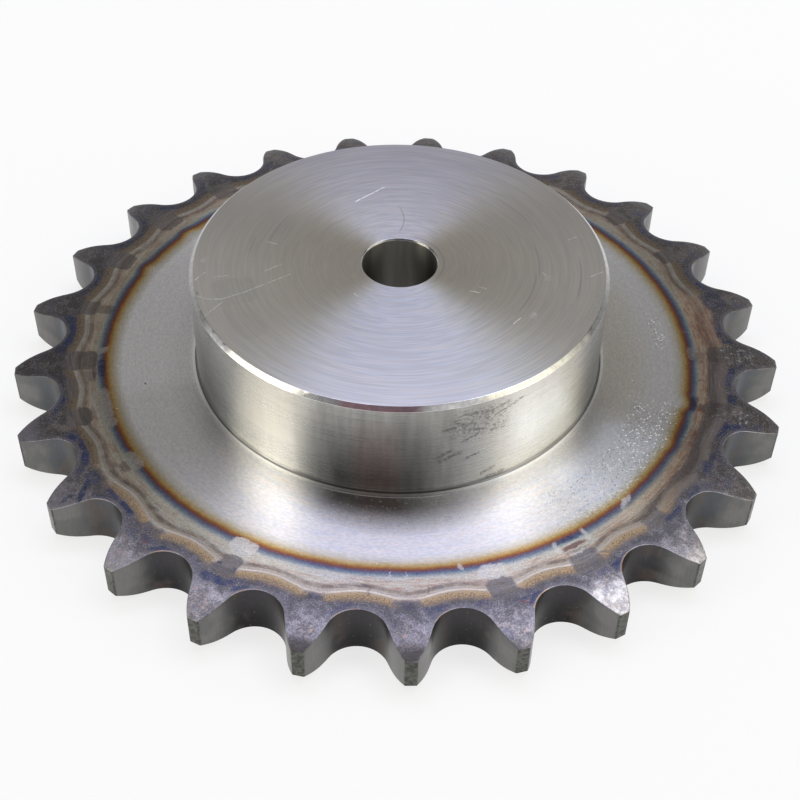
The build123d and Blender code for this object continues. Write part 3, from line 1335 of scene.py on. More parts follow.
@dataclass
class Finish:
    """What every finish has: a metal surface whose grooves run round the bore's axis."""

    patterns: Patterns
    name: str = "steel"
    roughness: float = 0.26
    anisotropy: float = 0.9
    steel: Colour = STEEL
    bench: Bench = field(init=False)  # the nodes of the material that is being built
    surface: bpy.types.bpy_prop_collection = field(init=False)  # its shader's sockets
    place: Place = field(init=False)  # where a point of it is

    def material(self) -> bpy.types.Material:
        """Builds the material.

        Returns:
            The material.
        """
        made = bpy.data.materials.new(self.name)
        made.use_nodes = True
        made.node_tree.nodes.clear()
        bench = self.bench = Bench(made.node_tree)
        surface = bench.add("BsdfPrincipled")
        self.surface = surface.inputs
        self.give("Metallic", 1.0)
        self.give("Roughness", self.roughness)
        self.give("Anisotropic", self.anisotropy)
        groove = bench.vector("CROSS_PRODUCT", (0.0, 0.0, 1.0), bench.add("TexCoord").outputs["Object"])
        across = bench.vector("CROSS_PRODUCT", groove, bench.add("NewGeometry").outputs["Normal"])
        self.give("Tangent", bench.vector("NORMALIZE", across))
        polar = bench.group(self.patterns.polar)
        teeth = bench.group(self.patterns.teeth, Radius=polar["Radius"], Turn=polar["Turn"])
        self.place = Place(*polar.values(), *teeth.values())
        self.dress()
        output = bench.add("OutputMaterial")
        bench.feed(output.inputs["Surface"], surface.outputs[0])
        return made

    def dress(self) -> None:
        """Gives the surface its colour: one that says no more is plain steel."""
        self.give("Base Color", self.steel)

    def give(self, socket: str, value: object) -> None:
        """Feeds one of the shader's sockets."""
        self.bench.feed(self.surface[socket], value)

    def bump(self, height: Wire, depth: float) -> None:
        """Adds a bump to the surface.

        Args:
            height: the height, about 0 to 1.
            depth: how deep a height of 1 is, in mm.
        """
        node = self.bench.add("Bump")
        node.inputs["Strength"].default_value = 1.0
        node.inputs["Distance"].default_value = depth * MM
        self.bench.feed(node.inputs["Height"], height)
        self.give("Normal", node.outputs["Normal"])

    def turning(self, travel: Wire, pitch: float = 0.9) -> dict[str, Wire]:
        """Adds the turning rings, by the tool's travel and the rings' pitch in mm."""
        return self.bench.group(self.patterns.turning, Round=self.place.round, Travel=travel, Pitch=pitch)

    def streaks(self, along: float, across: float) -> Wire:
        """Makes the fine streaks that lie along the turning rings, lighter and darker, pink and blue.

        Args:
            along: how often they change for each radian.
            across: how often they change for each mm of the radius.

        Returns:
            Their tint.
        """
        bench, place = self.bench, self.place
        shade, hue = bench.drift(bench.around(place.round, along, place.radius, across), 1.0, detail=1.5)
        shade = bench.mix(bench.rise(shade, -0.2, 0.2), (0.89, 0.895, 0.90), (1.10, 1.095, 1.09))
        hue = bench.mix(bench.rise(hue, -0.18, 0.18), (0.97, 0.99, 1.035), (1.035, 0.995, 0.98))
        return bench.tint(1.0, shade, hue)

    def rings(self, colour: object, turned: dict[str, Wire], strength: float) -> Wire:
        """Tints a colour along the turning rings: lilac in some, cream in others.

        Args:
            colour: the metal's colour.
            turned: the fine and the deeper rings.
            strength: how much they show.

        Returns:
            The tinted colour.
        """
        bench = self.bench
        tint = bench.mix(bench.rise(turned["Ring"], 0.32, 0.68), (0.94, 0.945, 0.975), (1.05, 1.035, 1.01))
        tint = bench.mix(bench.times(turned["Deep"], 0.3), tint, (0.82, 0.82, 0.84))
        return bench.tint(strength, colour, tint)


@dataclass
class SideFinish(Finish):
    """The plate's sides: turned steel inside, heat colours and scale outside."""

    heat: HeatColours | None = None
    ring_strength: float = 0.8
    relief: float = 0.02
    # where grains and dents lie thick: the turn in degrees and the radius in mm, as start, end and fade
    SCUFFED = ((34.0, 66.0, 9.0), (86.0, 98.5, 4.0))
    BELOW_HUB = ((-16.0, 10.0, 6.0), (74.0, 84.0, 3.0))
    APART = ((90.0, 97.0, 4.0), (91.0, 94.0, 1.5))
    # a dull and a warm sector: the turn likewise, the radii over which it fades, its share of the colour
    SECTORS = (
        ((-72.0, -44.0, 8.0), 99.0, 101.0, (0.90, 0.89, 0.88)),
        ((68.0, 110.0, 10.0), 80.0, 92.0, (0.93, 0.90, 0.82)),
    )
    # LIT_STEEL and LIT_SCALE tint a painted highlight, FOOT is a painted highlight by the hub's foot, SHADE
    # and DARK_SHADE are painted shade
    LIT_STEEL = (1.30, 1.35, 1.45)
    LIT_SCALE = (1.24, 1.12, 1.06)
    FOOT = (0.96, 0.95, 0.93)
    SHADE = (0.78, 0.77, 0.76)
    DARK_SHADE = (0.48, 0.455, 0.46)
    DENT = (0.50, 0.50, 0.52)

    def dress(self) -> None:
        """Gives the surface its colour, roughness and bump."""
        bench, patterns, place = self.bench, self.patterns, self.place
        heat = bench.group(self.heat.tree, **place.sockets())
        place = self.place = place.after(bench, heat["Relief"])
        turned = self.turning(place.radius)
        colour = self.rings(heat["Color"], turned, self.ring_strength * 0.4)
        colour = self._sectors(colour)
        # white specks: dust, and also painted glints, kept mostly to the inner plate and the right
        dust = bench.group(patterns.grit, Point=place.point, Spacing=1.9, Size=0.3, Share=0.12)
        scuffed = self.patch(*self.SCUFFED)
        loose = bench.group(patterns.grit, Point=place.point, Spacing=0.9, Size=0.34, Share=0.7)
        close = bench.group(patterns.grit, Point=place.point, Spacing=0.8, Size=0.36, Share=0.5)
        below = self.patch(*self.BELOW_HUB)
        apart = self.patch(*self.APART)
        scuffed = bench.most(scuffed, bench.most(apart, bench.times(below, 0.5)))
        dents = bench.times(close["Mask"], scuffed)
        colour = bench.tint(bench.times(dents, 0.7), colour, self.DENT)
        grains = bench.times(loose["Mask"], scuffed)
        bright = bench.most(bench.times(dust["Mask"], 0.45), bench.times(grains, 0.55)
        )
        right = bench.window(place.turn, 70.0, 92.0, 6.0)
        inner = bench.rise(place.radius, 99.0, 101.0, 1.0, 0.12)
        bright = bench.times(bright, bench.most(inner, bench.times(right, 0.4)))
        colour = bench.mix(bright, colour, self.heat.palette.dust)
        rough = bench.math("MULTIPLY_ADD", bright, 0.08, heat["Roughness"])
        self.give("Base Color", colour)
        self.give("Roughness", rough)
        self.give("Metallic", bench.minus(1.0, bright))
        self.bump(heat["Relief"], self.relief)

    def patch(self, turn: Part, radius: Part) -> Wire:
        """Marks out a part of the plate by its turn and its radius."""
        bench, place = self.bench, self.place
        return bench.times(bench.window(place.turn, *turn), bench.window(place.radius, *radius))

    def _sectors(self, colour: Wire) -> Wire:
        """Tints the steel along the rings and from side to side, and paints a highlight at the front right
        and shade by the hub's foot.

        Args:
            colour: the metal's colour.

        Returns:
            The tinted colour.
        """
        bench, place = self.bench, self.place
        streaks = self.streaks(58.0, 1.6)
        wrapped = bench.around(place.round, 7.0, place.radius, 0.8)
        tone = bench.noise(wrapped, 1.0, detail=2.0, roughness=0.6)
        front = bench.window(place.turn, -44.0, 34.0, 14.0)
        hue = bench.mix(
            bench.times(bench.rise(tone, 0.50, 0.66, 0.0, 0.7), front), (1.0, 1.0, 1.0), (1.05, 0.985, 0.97)
        )
        hue = bench.mix(bench.times(bench.rise(tone, 0.50, 0.36, 0.0, 0.7), front), hue, (0.89, 0.91, 1.0))
        hue = bench.tint(1.0, hue, streaks)
        colour = bench.tint(self.ring_strength, colour, hue)
        # painted highlight: the front right's highlight carried on over the plate, bluish on the steel and
        # warmer on the scale
        lit = bench.times(bench.window(place.turn, 42.0, 56.0, 9.0), bench.rise(place.radius, 74.0, 83.0))
        lit = bench.times(lit, bench.rise(place.radius, 106.0, 113.0, 1.0, 0.0))
        by_heat = bench.mix(bench.rise(place.radius, 101.5, 104.5), self.LIT_STEEL, self.LIT_SCALE)
        colour = bench.tint(lit, colour, by_heat)
        for turn, low, high, share in self.SECTORS:
            there = bench.window(place.turn, *turn)
            there = bench.times(there, bench.rise(place.radius, low, high, 1.0, 0.0))
            colour = bench.tint(there, colour, share)
        left = bench.window(place.turn, -120.0, -62.0, 18.0)
        inner = bench.window(place.radius, 98.5, 104.5, 3.0)
        colour = bench.tint(bench.times(left, inner), colour, (0.80, 0.78, 0.74))
        # painted highlight: a pale line along the step by the hub's foot
        foot = bench.window(place.radius, 71.1, 71.6, 0.3)
        colour = bench.mix(bench.times(foot, 0.6), colour, self.FOOT)
        # painted shade round the hub's foot, and a darker painted reflection of the hub's side below it at
        # the front
        shade = bench.window(place.radius, 73.0, 75.0, 8.0)
        shade = bench.times(shade, bench.rise(place.radius, 72.4, 72.8))
        dark = bench.times(shade, bench.window(place.turn, -17.0, -3.0, 6.0))
        colour = bench.tint(bench.times(shade, 0.3), colour, self.SHADE)
        return bench.tint(bench.times(dark, 0.9), colour, self.DARK_SHADE)


@dataclass
class FlankFinish(Finish):
    """The milled and hardened flanks of the teeth: dark, with painted shade at the front and towards their
    foot, lighter on the tips.
    """

    roughness: float = 0.34
    anisotropy: float = 0.0
    # each pair of colours by the mottling, or from the foot to the top of a flank; FRONT and the darker
    # foot of the sides are painted shade
    FRONT = ((0.020, 0.019, 0.020), (0.052, 0.049, 0.052))
    SIDES = ((0.112, 0.118, 0.130), (0.122, 0.121, 0.112))
    TIPS = ((0.145, 0.145, 0.14), (0.185, 0.18, 0.175))
    LANDS = ((0.060, 0.060, 0.052), (0.12, 0.122, 0.108))
    WARM = (0.13, 0.095, 0.08)
    SPECK = (0.24, 0.24, 0.24)
    LAND = (132.4, 132.9)  # the radii in mm between which a tooth's land begins

    def dress(self) -> None:
        """Gives the surface its colour, roughness and bump."""
        bench, place = self.bench, self.place
        coarse = bench.noise(place.point, 0.12, detail=2.0)
        x, y, z = bench.split(place.point)
        lines = bench.noise(bench.join(x, y, bench.times(z, 0.12)), 1.6, detail=1.0, roughness=0.6)
        mottled = bench.noise(place.point, 0.8, detail=2.0, roughness=0.6)
        # painted shade: darker at the front than at the sides, and darker towards the foot of each flank
        sides = bench.rise(bench.math("ABSOLUTE", place.turn), 34.0, 62.0)
        low = bench.rise(place.height, 1.0, 17.0)
        colour = bench.mix(low, *self.FRONT)
        smooth = bench.mix(bench.rise(coarse, 0.40, 0.62), *self.SIDES)
        smooth = bench.mix(low, bench.vector("SCALE", smooth, scale=0.75), smooth)
        colour = bench.mix(bench.times(sides, 0.85), colour, smooth)
        warm = bench.times(
            bench.window(place.radius, 119.5, 122.0, 2.5), bench.rise(coarse, 0.45, 0.6, 0.0, 0.35)
        )
        colour = bench.mix(warm, colour, self.WARM)
        outer = bench.rise(bench.math("MULTIPLY_ADD", coarse, 4.0, place.radius), 122.0, 131.0)
        tip = bench.mix(bench.rise(coarse, 0.40, 0.60), *self.TIPS)
        colour = bench.mix(outer, colour, tip)
        land = bench.rise(place.radius, *self.LAND)
        olive = bench.mix(bench.rise(mottled, 0.38, 0.6), *self.LANDS)
        colour = bench.mix(land, colour, olive)
        tint = bench.mix(bench.rise(lines, 0.35, 0.65), (0.96, 0.96, 0.97), (1.04, 1.035, 1.03))
        colour = bench.tint(1.0, colour, tint)
        specks = bench.group(self.patterns.grit, Point=place.point, Spacing=1.3, Size=0.3, Share=0.3)
        colour = bench.mix(bench.times(specks["Mask"], 0.3), colour, self.SPECK)
        self.give("Base Color", colour)
        self.give("Roughness", bench.rise(coarse, 0.3, 0.7, 0.28, 0.42))
        self.bump(lines, 0.003)


@dataclass
class TurnedFinish(Finish):
    """A turned surface that is duller where it faces away from the lamps."""

    def dulled(self, shades: tuple[tuple[float, float], ...]) -> Wire:
        """Reads how bright the surface is by the way that it faces.

        Args:
            shades: some turns in degrees, in order, each with its share of the steel's brightness.

        Returns:
            The share.
        """
        bench = self.bench
        low, high = shades[0][0], shades[-1][0]
        stops = [((turn - low) / (high - low), (share / 2,) * 3) for turn, share in shades]
        halved, _, _ = bench.channels(bench.ramp(bench.rise_linear(self.place.turn, low, high), stops))
        return bench.times(halved, 2.0)


@dataclass
class HubSideFinish(TurnedFinish):
    """The hub's turned side: painted light and shade by the way it faces, dark with painted shade towards
    its foot, with dirty smears at the front right.
    """

    roughness: float = 0.277
    # the first colour tints a painted reflection, the third is painted shade at the foot
    RUDDY = (1.20, 0.98, 0.92)
    SMEAR = (0.17, 0.165, 0.17)
    FOOT = (0.08, 0.075, 0.075)
    SPREAD = 1.6  # how far a smear has spread beyond its own width
    BEND = (2.6, 2.0, 0.0)  # how far the smears wander, in mm along and up the side
    # painted light and shade: how bright it is near the foot and near the top, by the turn
    LOW = (
        (-86.0, 0.58), (-68.0, 0.42), (-52.0, 0.86), (-30.0, 0.94), (-17.0, 0.31), (4.0, 0.34),
        (16.0, 0.92), (32.0, 0.90), (50.0, 0.84), (76.0, 0.50), (90.0, 0.80),
    )
    HIGH = (
        (-86.0, 0.60), (-60.0, 0.94), (-44.0, 0.92), (-26.0, 1.14), (-7.0, 0.98), (3.0, 0.90), (13.0, 1.00),
        (32.0, 0.92), (48.0, 0.92), (60.0, 1.00), (78.0, 0.60), (90.0, 0.46),
    )
    # smears, by turn in degrees and height in mm
    SMEARS = table(
        Scratch, ((14.5, 50.2), (19.5, 49.6), 0.9), ((20.7, 50.5), (21.3, 45.0), 0.6),
        ((19.0, 48.2), (27.0, 50.8), 0.7), ((24.0, 47.2), (31.0, 50.2), 0.6),
        ((13.0, 47.0), (17.5, 45.0), 0.9), ((14.6, 46.5), (14.9, 42.0), 0.6),
        ((9.5, 44.5), (13.5, 46.0), 0.6), ((16.0, 43.5), (20.0, 42.2), 0.8),
        ((22.0, 41.0), (26.0, 40.4), 0.5), ((8.0, 33.0), (12.0, 36.0), 0.6),
        ((9.0, 31.5), (14.0, 34.0), 0.8), ((16.0, 31.0), (19.0, 32.0), 0.6),
        ((20.5, 22.0), (24.0, 23.5), 0.6), ((22.0, 19.6), (27.0, 20.2), 0.7),
        ((15.0, 39.0), (19.0, 41.0), 0.6),
    )

    def dress(self) -> None:
        """Gives the surface its colour, roughness and bump."""
        bench, place = self.bench, self.place
        turned = self.turning(place.height)
        colour = self.rings(self.steel, turned, 0.5)
        # painted light and shade by the turn, shifting from LOW at the foot to HIGH at the top
        up = bench.math("POWER", bench.rise_linear(place.height, 21.0, 51.0), 1.7)
        share = bench.mix_value(up, self.dulled(self.LOW), self.dulled(self.HIGH))
        colour = bench.vector("SCALE", bench.vector("MULTIPLY", colour, (1.0, 1.025, 1.01)), scale=share)
        # painted reflection of the plate's heat colours, low on the side at the front
        painted_ruddy_reflection = bench.times(bench.window(place.turn, -11.0, -4.0, 5.0), bench.minus(1.0, up))
        colour = bench.tint(painted_ruddy_reflection, colour, self.RUDDY)
        streak = bench.noise(bench.around(place.round, 28.0, place.height, 0.05), 1.0, detail=3.0)
        centre = bench.window(place.turn, -20.0, 12.0, 6.0)
        streaked = bench.mix(bench.rise(streak, 0.35, 0.65), (0.92, 0.905, 0.90), (1.09, 1.08, 1.07))
        colour = bench.tint(bench.math("MULTIPLY_ADD", centre, 0.8, 0.2), colour, streaked)
        colour = bench.mix(self._smears(), colour, self.SMEAR)
        # painted shade in the fillet at the hub's foot
        foot = bench.rise(place.height, 18.6, 19.6, 0.8, 0.0)
        colour = bench.mix(foot, colour, self.FOOT)
        self.give("Base Color", colour)
        rough = bench.math("MULTIPLY_ADD", bench.minus(turned["Ring"], 0.5), 0.05, self.roughness)
        self.give("Roughness", rough)

    def _smears(self) -> Wire:
        """The mask of the smears and of the dusty blots about them."""
        bench, place = self.bench, self.place
        reach = math.radians(1.0) * self.patterns.sizes.hub_radius / MM
        unrolled = bench.join(bench.times(place.turn, reach), place.height, 0.0)
        ragged = bench.noise(unrolled, 0.9, detail=4.0, roughness=0.75)
        bend = bench.vector("SCALE", self.BEND, scale=bench.minus(ragged, 0.5))
        bent = bench.vector("ADD", unrolled, bend)
        mask = 0.0
        for smear in self.SMEARS:
            start, end = ((turn * reach, height, 0.0) for turn, height in (smear.start, smear.end))
            width = smear.width * self.SPREAD
            drawn = bench.group(
                self.patterns.scratch, Point=bent, Start=start, End=end, Width=width, Wobble=ragged
            )
            mask = bench.most(mask, drawn["Mask"])
        mask = bench.times(mask, bench.rise(ragged, 0.34, 0.60, 0.15, 0.75))
        dusty = bench.times(
            bench.window(place.turn, 13.0, 25.0, 4.0), bench.window(place.height, 42.0, 50.0, 4.0)
        )
        dusty = bench.times(dusty, bench.rise(ragged, 0.47, 0.62, 0.0, 0.7))
        return bench.most(mask, dusty)


@dataclass
class HubFaceFinish(TurnedFinish):
    """The hub's faced end: soft rings, a few dark ones in part, scratches, scuffs by its edge, and painted
    highlight and shade by the way it faces.
    """

    roughness: float = 0.278
    anisotropy: float = 0.85
    # painted highlight and shade by the way the face turns: the share of the steel's colour by the bore and
    # near the edge, in front, at the sides and at the back
    FRONT = ((0.90, 0.935, 0.96), (0.92, 0.945, 0.94))
    SIDES = ((0.79, 0.765, 0.70), (0.99, 0.975, 0.95))
    BACK_SIDES = ((0.79, 0.765, 0.70), (0.76, 0.75, 0.735))
    BACK = ((0.93, 0.94, 0.95), (0.71, 0.71, 0.71))
    # parts of rings where the tool lingered
    ARCS = table(
        Mark, (-115.0, 45.5, 10.0, 0.28, 0.35), (151.0, 45.5, 4.0, 0.25, 0.3),
        (-143.0, 50.5, 6.0, 0.28, 0.35), (-102.0, 50.5, 5.0, 0.25, 0.3), (-117.5, 42.5, 6.5, 0.25, 0.3),
        (68.0, 45.6, 13.0, 0.28, 0.35), (91.0, 46.6, 11.0, 0.28, 0.35), (125.0, 50.0, 11.0, 0.35, 0.3),
        (81.5, 60.4, 9.5, 0.28, 0.35), (107.0, 14.8, 56.0, 0.35, 0.4), (-40.0, 36.4, 30.0, 0.2, 0.2),
        (20.0, 55.2, 26.0, 0.2, 0.2),
    )
    STAINS = table(
        Mark, (-75.0, 56.0, 7.0, 7.0, 0.16), (-60.0, 58.0, 9.0, 5.0, 0.12), (-77.0, 68.1, 0.6, 0.5, 0.6),
        (-64.6, 69.4, 0.5, 0.4, 0.6),
    )
    DENTS = table(
        Mark, (-91.5, 65.4, 1.0, 0.9, 0.6), (57.0, 50.4, 1.8, 1.2, 0.7), (79.5, 49.6, 1.6, 1.2, 0.45),
    )
    SCRATCHES = table(
        Scratch, ((-66.0, -16.8), (-62.9, -18.2)), ((-62.9, -18.2), (-58.4, -18.3)),
        ((-58.4, -18.3), (-50.9, -14.8)), ((-50.9, -14.8), (-36.3, -5.8), 0.25),
        ((-63.0, -26.3), (-57.8, -19.7)), ((-67.6, -8.7), (-64.5, -4.6)),
        ((-14.4, 33.9), (-10.4, 37.2), 0.24), ((-10.4, 37.2), (-4.2, 42.3), 0.22),
        ((-62.0, -7.2), (-56.8, -6.2), 0.25), ((-44.7, -4.1), (-39.4, -0.5), 0.25),
        ((-44.7, 11.6), (-41.1, 10.1), 0.25), ((-15.3, -16.0), (-14.2, -17.4), 0.35),
        ((22.6, -15.2), (25.9, -16.1), 0.35), ((25.8, -13.1), (27.8, -14.1), 0.35),
        ((57.6, 11.3), (61.4, 13.4), 0.25), ((35.4, -31.5), (38.1, -28.5), 0.22),
        ((63.0, -8.3), (67.6, -5.7)), ((47.4, -6.2), (48.2, -7.4), 0.4),
    )
    CURL = (-14.0, 24.0, 0.0)  # centre of the dark curl by the bore
    CURL_RADIUS = 16.2
    DARK_CURL = (0.30, 0.29, 0.30)
    ARC = (0.32, 0.31, 0.33)
    STAIN = (0.34, 0.36, 0.33)
    SCRATCH = (1.0, 1.0, 1.0)
    SCUFF = (0.36, 0.36, 0.37)

    def dress(self) -> None:
        """Gives the surface its colour, roughness and bump."""
        bench, place = self.bench, self.place
        colour = self.rings(self.steel, self.turning(place.radius, pitch=1.1), 0.35)
        # painted highlight in front and behind, painted shade at the sides
        out = bench.rise_linear(place.radius, 20.0, 62.0)
        x, y, _ = bench.split(place.round)
        aside = bench.rise(bench.math("ABSOLUTE", x), 0.50, 0.86)
        behind = bench.rise(y, -0.25, 0.65)
        front, sides, back_sides, back = (
            bench.mix(out, *pair) for pair in (self.FRONT, self.SIDES, self.BACK_SIDES, self.BACK)
        )
        shade = bench.mix(aside, bench.mix(behind, front, back), bench.mix(behind, sides, back_sides))
        colour = bench.tint(1.0, colour, shade)
        strength = bench.rise(bench.math("ABSOLUTE", x), 0.5, 0.9, 0.9, 0.4)
        colour = bench.tint(strength, colour, self.streaks(3.4, 1.5))
        # painted reflection of the lamps' colours: bluish in front and behind, warm at the sides
        sideways = bench.rise(bench.math("ABSOLUTE", x), 0.35, 0.9)
        tone = bench.mix(sideways, (0.97, 0.965, 1.02), (1.0, 0.98, 0.945))
        colour = bench.tint(1.0, colour, tone)
        spread = bench.join(place.turn, place.radius, 0.0)
        arcs = self.patterns.marked(bench, spread, self.ARCS)
        colour = bench.mix(arcs, colour, self.ARC)
        cloud = bench.noise(place.point, 0.8, detail=3.0, roughness=0.6)
        stains = bench.times(
            self.patterns.marked(bench, spread, self.STAINS), bench.rise(cloud, 0.3, 0.55, 0.4, 1.0)
        )
        colour = bench.mix(stains, colour, self.STAIN)
        flat = bench.vector("MULTIPLY", place.point, (1.0, 1.0, 0.0))
        off_curl = bench.vector("LENGTH", bench.vector("SUBTRACT", flat, self.CURL))
        off_curl = bench.minus(off_curl, self.CURL_RADIUS)
        curl = bench.times(
            bench.window(off_curl, -0.1, 0.1, 0.25), bench.window(place.turn, 150.0, 177.0, 3.0)
        )
        colour = bench.mix(bench.times(curl, 0.5), colour, self.DARK_CURL)
        scratched = 0.0
        for line in self.SCRATCHES:
            drawn = bench.group(
                self.patterns.scratch, Point=flat, Start=(*line.start, 0.0), End=(*line.end, 0.0),
                Width=line.width, Wobble=cloud,
            )
            scratched = bench.most(scratched, drawn["Mask"])
        fine = bench.noise(place.point, 2.2, detail=1.0)
        dents = bench.times(self.patterns.marked(bench, spread, self.DENTS), bench.rise(fine, 0.42, 0.62))
        scratched = bench.most(scratched, dents)
        colour = bench.mix(bench.times(scratched, 0.8), colour, self.SCRATCH)
        by_edge = bench.times(
            bench.window(place.turn, 62.0, 78.0, 4.0), bench.rise(place.radius, 63.0, 66.5)
        )
        scuffed = bench.times(by_edge, bench.rise(fine, 0.54, 0.66, 0.0, 0.45))
        colour = bench.mix(scuffed, colour, self.SCUFF)
        self.give("Base Color", colour)
        rough = bench.math("MULTIPLY_ADD", bench.most(scratched, scuffed), 0.15, self.roughness)
        self.give("Roughness", rough)


@dataclass
class EdgeFinish(TurnedFinish):
    """The turned chamfers: bright where they face the light, and violet at the front, a painted reflection.
    """

    roughness: float = 0.18
    OUTER = (60.0, 61.0)  # the radii in mm that tell the hub's edge from the bore's
    BY_BORE = 0.5  # the share of the steel's brightness at the bore's edge
    # the tint of the painted reflection at the front
    VIOLET = (1.15, 0.78, 0.88)
    SHADES = (
        (-86.0, 0.56), (-66.0, 0.30), (-54.0, 1.25), (-24.0, 1.40), (-14.0, 0.95), (1.0, 0.72),
        (11.0, 1.35), (40.0, 0.95), (54.0, 0.30), (72.0, 0.30), (90.0, 0.75),
    )

    def dress(self) -> None:
        """Gives the surface its colour, roughness and bump."""
        bench, place = self.bench, self.place
        uneven = bench.noise(place.point, 0.6, detail=2.0)
        share = self.dulled(self.SHADES)
        share = bench.mix_value(bench.rise(place.radius, *self.OUTER), self.BY_BORE, share)
        colour = bench.vector("SCALE", self.steel, scale=share)
        # painted reflection: violet on the hub's edge at the front
        violet = bench.times(
            bench.window(place.turn, -15.0, 1.0, 4.0), bench.rise(place.radius, *self.OUTER)
        )
        colour = bench.tint(violet, colour, self.VIOLET)
        worn = bench.mix(bench.rise(uneven, 0.35, 0.65), (0.88, 0.88, 0.89), (1.05, 1.05, 1.05))
        self.give("Base Color", bench.tint(1.0, colour, worn))


@dataclass
class BoreFinish(Finish):
    """The drilled pilot bore: dull, in soft upright bands, with painted shade deeper in."""

    roughness: float = 0.3
    BANDS = ((0.34, 0.325, 0.305), (0.46, 0.455, 0.43))

    def dress(self) -> None:
        """Gives the surface its colour, roughness and bump."""
        bench, place = self.bench, self.place
        bands = bench.noise(bench.around(place.round, 2.6, place.height, 0.02), 1.0, detail=3.0)
        colour = bench.mix(bench.rise(bands, 0.36, 0.64), *self.BANDS)
        # painted shade: darker deeper in the bore
        deep = bench.rise(place.height, 30.0, 54.0, 0.7, 1.0)
        self.give("Base Color", bench.vector("SCALE", colour, scale=deep))


# --- studio ---


@dataclass(frozen=True)
class Softbox:
    """A rectangular lamp that faces a point."""

    name: str
    place: tuple[float, float, float]
    aim: tuple[float, float, float]
    width: float
    height: float
    strength: float
    colour: Colour = (1.0, 1.0, 1.0)

    def build(self) -> bpy.types.Object:
        """Builds the lamp.

        Returns:
            The lamp's object.
        """
        lamp = bpy.data.lights.new(self.name, "AREA")
        lamp.shape = "RECTANGLE"
        lamp.size, lamp.size_y = self.width, self.height
        lamp.energy = self.strength * math.pi * self.width * self.height
        lamp.color = self.colour
        piece = bpy.data.objects.new(self.name, lamp)
        place = Vector(self.place)
        facing = (place - Vector(self.aim)).to_track_quat("Z", "Y")
        piece.matrix_world = Matrix.Translation(place) @ facing.to_matrix().to_4x4()
        piece.visible_camera = False
        bpy.context.scene.collection.objects.link(piece)
        return piece


@dataclass
class Studio:
    """A white floor under a bank of softboxes, in a dim room with a pale horizon."""

    floor_size: float = 60.0
    floor_albedo: float = 0.85
    floor_glow: float = 0.75  # the share that is plain white, the rest takes the shadow
    room: float = 0.2
    horizon: float = 1.0
    horizon_band: tuple[float, float] = (12.0, 26.0)  # degrees up, over which it fades into the room
    lamps: tuple[Softbox, ...] = table(
        Softbox,
        ("ceiling", (0.0, 0.42, 1.4), (0.0, 0.42, 0.0), 0.9, 0.45, 5.1, (0.93, 0.95, 1.2)),
        ("ceiling_right", (0.68, 0.2, 1.4), (0.68, 0.2, 0.0), 0.45, 0.9, 4.0, (0.96, 1.0, 1.1)),
        ("ceiling_left", (-0.68, 0.32, 1.4), (-0.68, 0.32, 0.0), 0.45, 0.65, 1.6, (0.96, 1.0, 1.1)),
        ("left", (-1.17, -0.31, 0.7), (0.0, 0.0, 0.03), 0.8, 1.4, 1.5, (1.05, 1.0, 0.8)),
        ("left_low", (-1.21, -0.64, 0.29), (0.0, 0.0, 0.03), 0.5, 0.5, 5.2, (1.06, 1.0, 0.88)),
        ("right", (1.15, -0.24, 0.76), (0.0, 0.0, 0.03), 1.3, 1.1, 1.25, (1.06, 1.0, 0.78)),
        ("right_low", (1.21, -0.64, 0.29), (0.0, 0.0, 0.03), 0.5, 0.5, 1.6, (1.06, 1.0, 0.88)),
        ("front", (0.61, -1.16, 0.92), (0.0, 0.0, 0.03), 0.7, 0.9, 0.36),
        ("back", (-0.22, 1.24, 0.98), (0.0, 0.0, 0.03), 1.8, 0.7, 0.18),
    )

    def build(self) -> None:
        """Builds the floor, the room and the lamps."""
        self._floor()
        self._room()
        for lamp in self.lamps:
            lamp.build()

    def _floor(self) -> bpy.types.Object:
        """Builds the floor. Seen, mirrored or through glass it is near white, and it keeps shadows.

        Returns:
            The floor's object.
        """
        grid = bmesh.new()
        bmesh.ops.create_grid(grid, x_segments=1, y_segments=1, size=self.floor_size / 2)
        mesh = bpy.data.meshes.new("floor")
        grid.to_mesh(mesh)
        grid.free()
        floor = bpy.data.objects.new("floor", mesh)
        bpy.context.scene.collection.objects.link(floor)
        material = bpy.data.materials.new("floor_white")
        material.use_nodes = True
        material.node_tree.nodes.clear()
        bench = Bench(material.node_tree)
        matt = bench.add("BsdfDiffuse")
        bench.feed(matt.inputs["Color"], (self.floor_albedo,) * 3)
        white = bench.add("Emission")
        ray = bench.add("LightPath").outputs
        seen = bench.most(ray["Is Glossy Ray"], ray["Is Transmission Ray"])
        seen = bench.most(ray["Is Camera Ray"], seen)
        blend = bench.add("MixShader")
        bench.feed(blend.inputs[0], bench.times(seen, self.floor_glow))
        bench.feed(blend.inputs[1], matt.outputs[0])
        bench.feed(blend.inputs[2], white.outputs[0])
        bench.feed(bench.add("OutputMaterial").inputs["Surface"], blend.outputs[0])
        floor.data.materials.append(material)
        return floor

    def _room(self) -> None:
        """Sets the room's own light: dim overhead and pale along the horizon."""
        world = bpy.data.worlds.new("room")
        bpy.context.scene.world = world
        world.use_nodes = True
        world.node_tree.nodes.clear()
        bench = Bench(world.node_tree)
        _, _, up = bench.split(bench.add("TexCoord").outputs["Generated"])
        low, high = (math.sin(math.radians(angle)) for angle in self.horizon_band)
        background = bench.add("Background")
        bench.feed(background.inputs["Color"], (1.0, 1.0, 1.0))
        bench.feed(background.inputs["Strength"], bench.rise(up, low, high, self.horizon, self.room))
        bench.feed(bench.add("OutputWorld").inputs["Surface"], background.outputs[0])


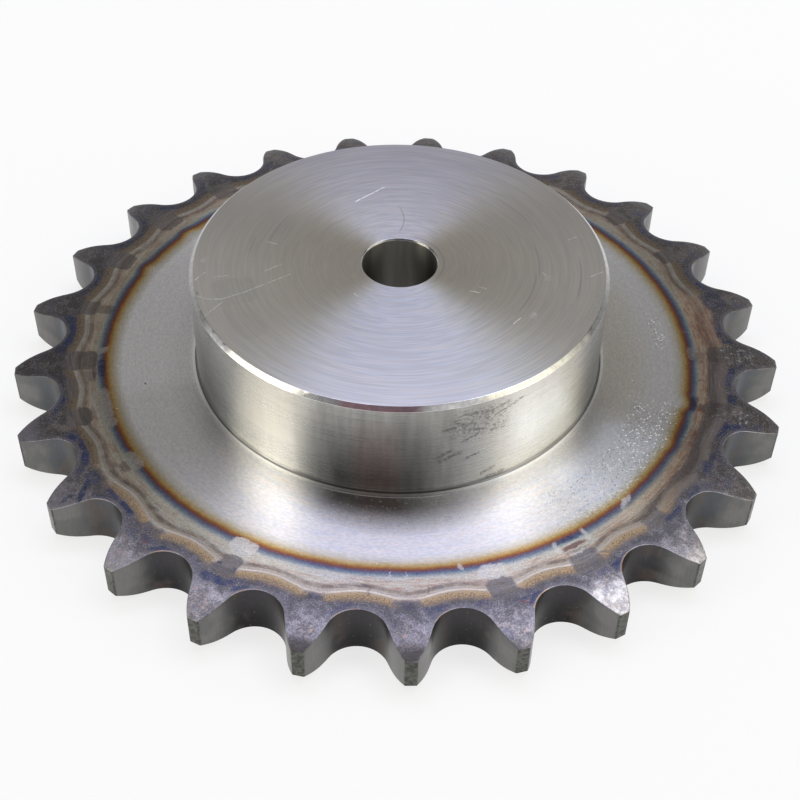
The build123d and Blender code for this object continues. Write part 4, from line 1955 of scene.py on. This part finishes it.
@dataclass
class Viewpoint:
    """The camera, above and in front of the plate, a little turned about the bore's axis."""

    elevation: float = 0.771  # radians, as are the next two
    turn: float = -0.046
    roll: float = -0.022
    distance: float = 525.7 * MM
    aside: float = -1.1 * MM
    above: float = 6.5 * MM
    focal_pixels: float = 1461.0
    image_pixels: float = 800.0
    sensor: float = 36.0  # mm
    near: float = 10.0 * MM  # nothing closer is drawn

    def build(self) -> bpy.types.Object:
        """Builds the camera.

        Returns:
            The camera's object.
        """
        back = Vector((0, -math.cos(self.elevation), math.sin(self.elevation)))
        right = Vector((1, 0, 0))
        up = back.cross(right)
        place = back * self.distance - right * self.aside - up * self.above
        axis_x = right * math.cos(self.roll) - up * math.sin(self.roll)
        axis_y = right * math.sin(self.roll) + up * math.cos(self.roll)
        turn = Matrix.Rotation(self.turn, 4, "Z")
        aim = Matrix((axis_x, axis_y, back)).transposed().to_4x4()
        camera_data = bpy.data.cameras.new("camera")
        camera_data.sensor_width = self.sensor
        camera_data.lens = self.focal_pixels / self.image_pixels * self.sensor
        camera_data.clip_start = self.near
        camera = bpy.data.objects.new("camera", camera_data)
        camera.matrix_world = turn @ Matrix.Translation(place) @ aim
        bpy.context.scene.collection.objects.link(camera)
        bpy.context.scene.camera = camera
        return camera


# --- the build ---


def main() -> None:
    """Loads the frame, builds the sprocket, its finishes, the studio and the camera."""
    logging.basicConfig(level=logging.INFO, format="%(message)s")
    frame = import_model()
    sizes = SprocketSizes.from_frame(frame["record"])
    piece = SprocketBody(sizes).build()
    patterns = Patterns(sizes)
    heat = HeatColours(patterns, HeatPalette())
    finishes = {
        Region.PLATE: SideFinish(patterns, "turned_plate", anisotropy=0.83, heat=heat),
        Region.RIM: SideFinish(
            patterns, "hardened_rim", anisotropy=0.5, heat=heat, ring_strength=0.3, relief=0.06
        ),
        Region.FLANK: FlankFinish(patterns, "milled_flank"),
        Region.HUB_SIDE: HubSideFinish(patterns, "turned_hub_side"),
        Region.HUB_FACE: HubFaceFinish(patterns, "turned_hub_face"),
        Region.CHAMFER: EdgeFinish(patterns, "turned_chamfer"),
        Region.BORE: BoreFinish(patterns, "drilled_bore"),
    }
    for region in Region:
        piece.data.materials.append(finishes[region].material())
    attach(piece, "root")
    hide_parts(NODE)
    log.info("sprocket_body: %d faces", len(piece.data.polygons))
    Studio().build()
    Viewpoint().build()
    bpy.context.scene.view_settings.view_transform = "Standard"


if __name__ == "__main__":
    main()
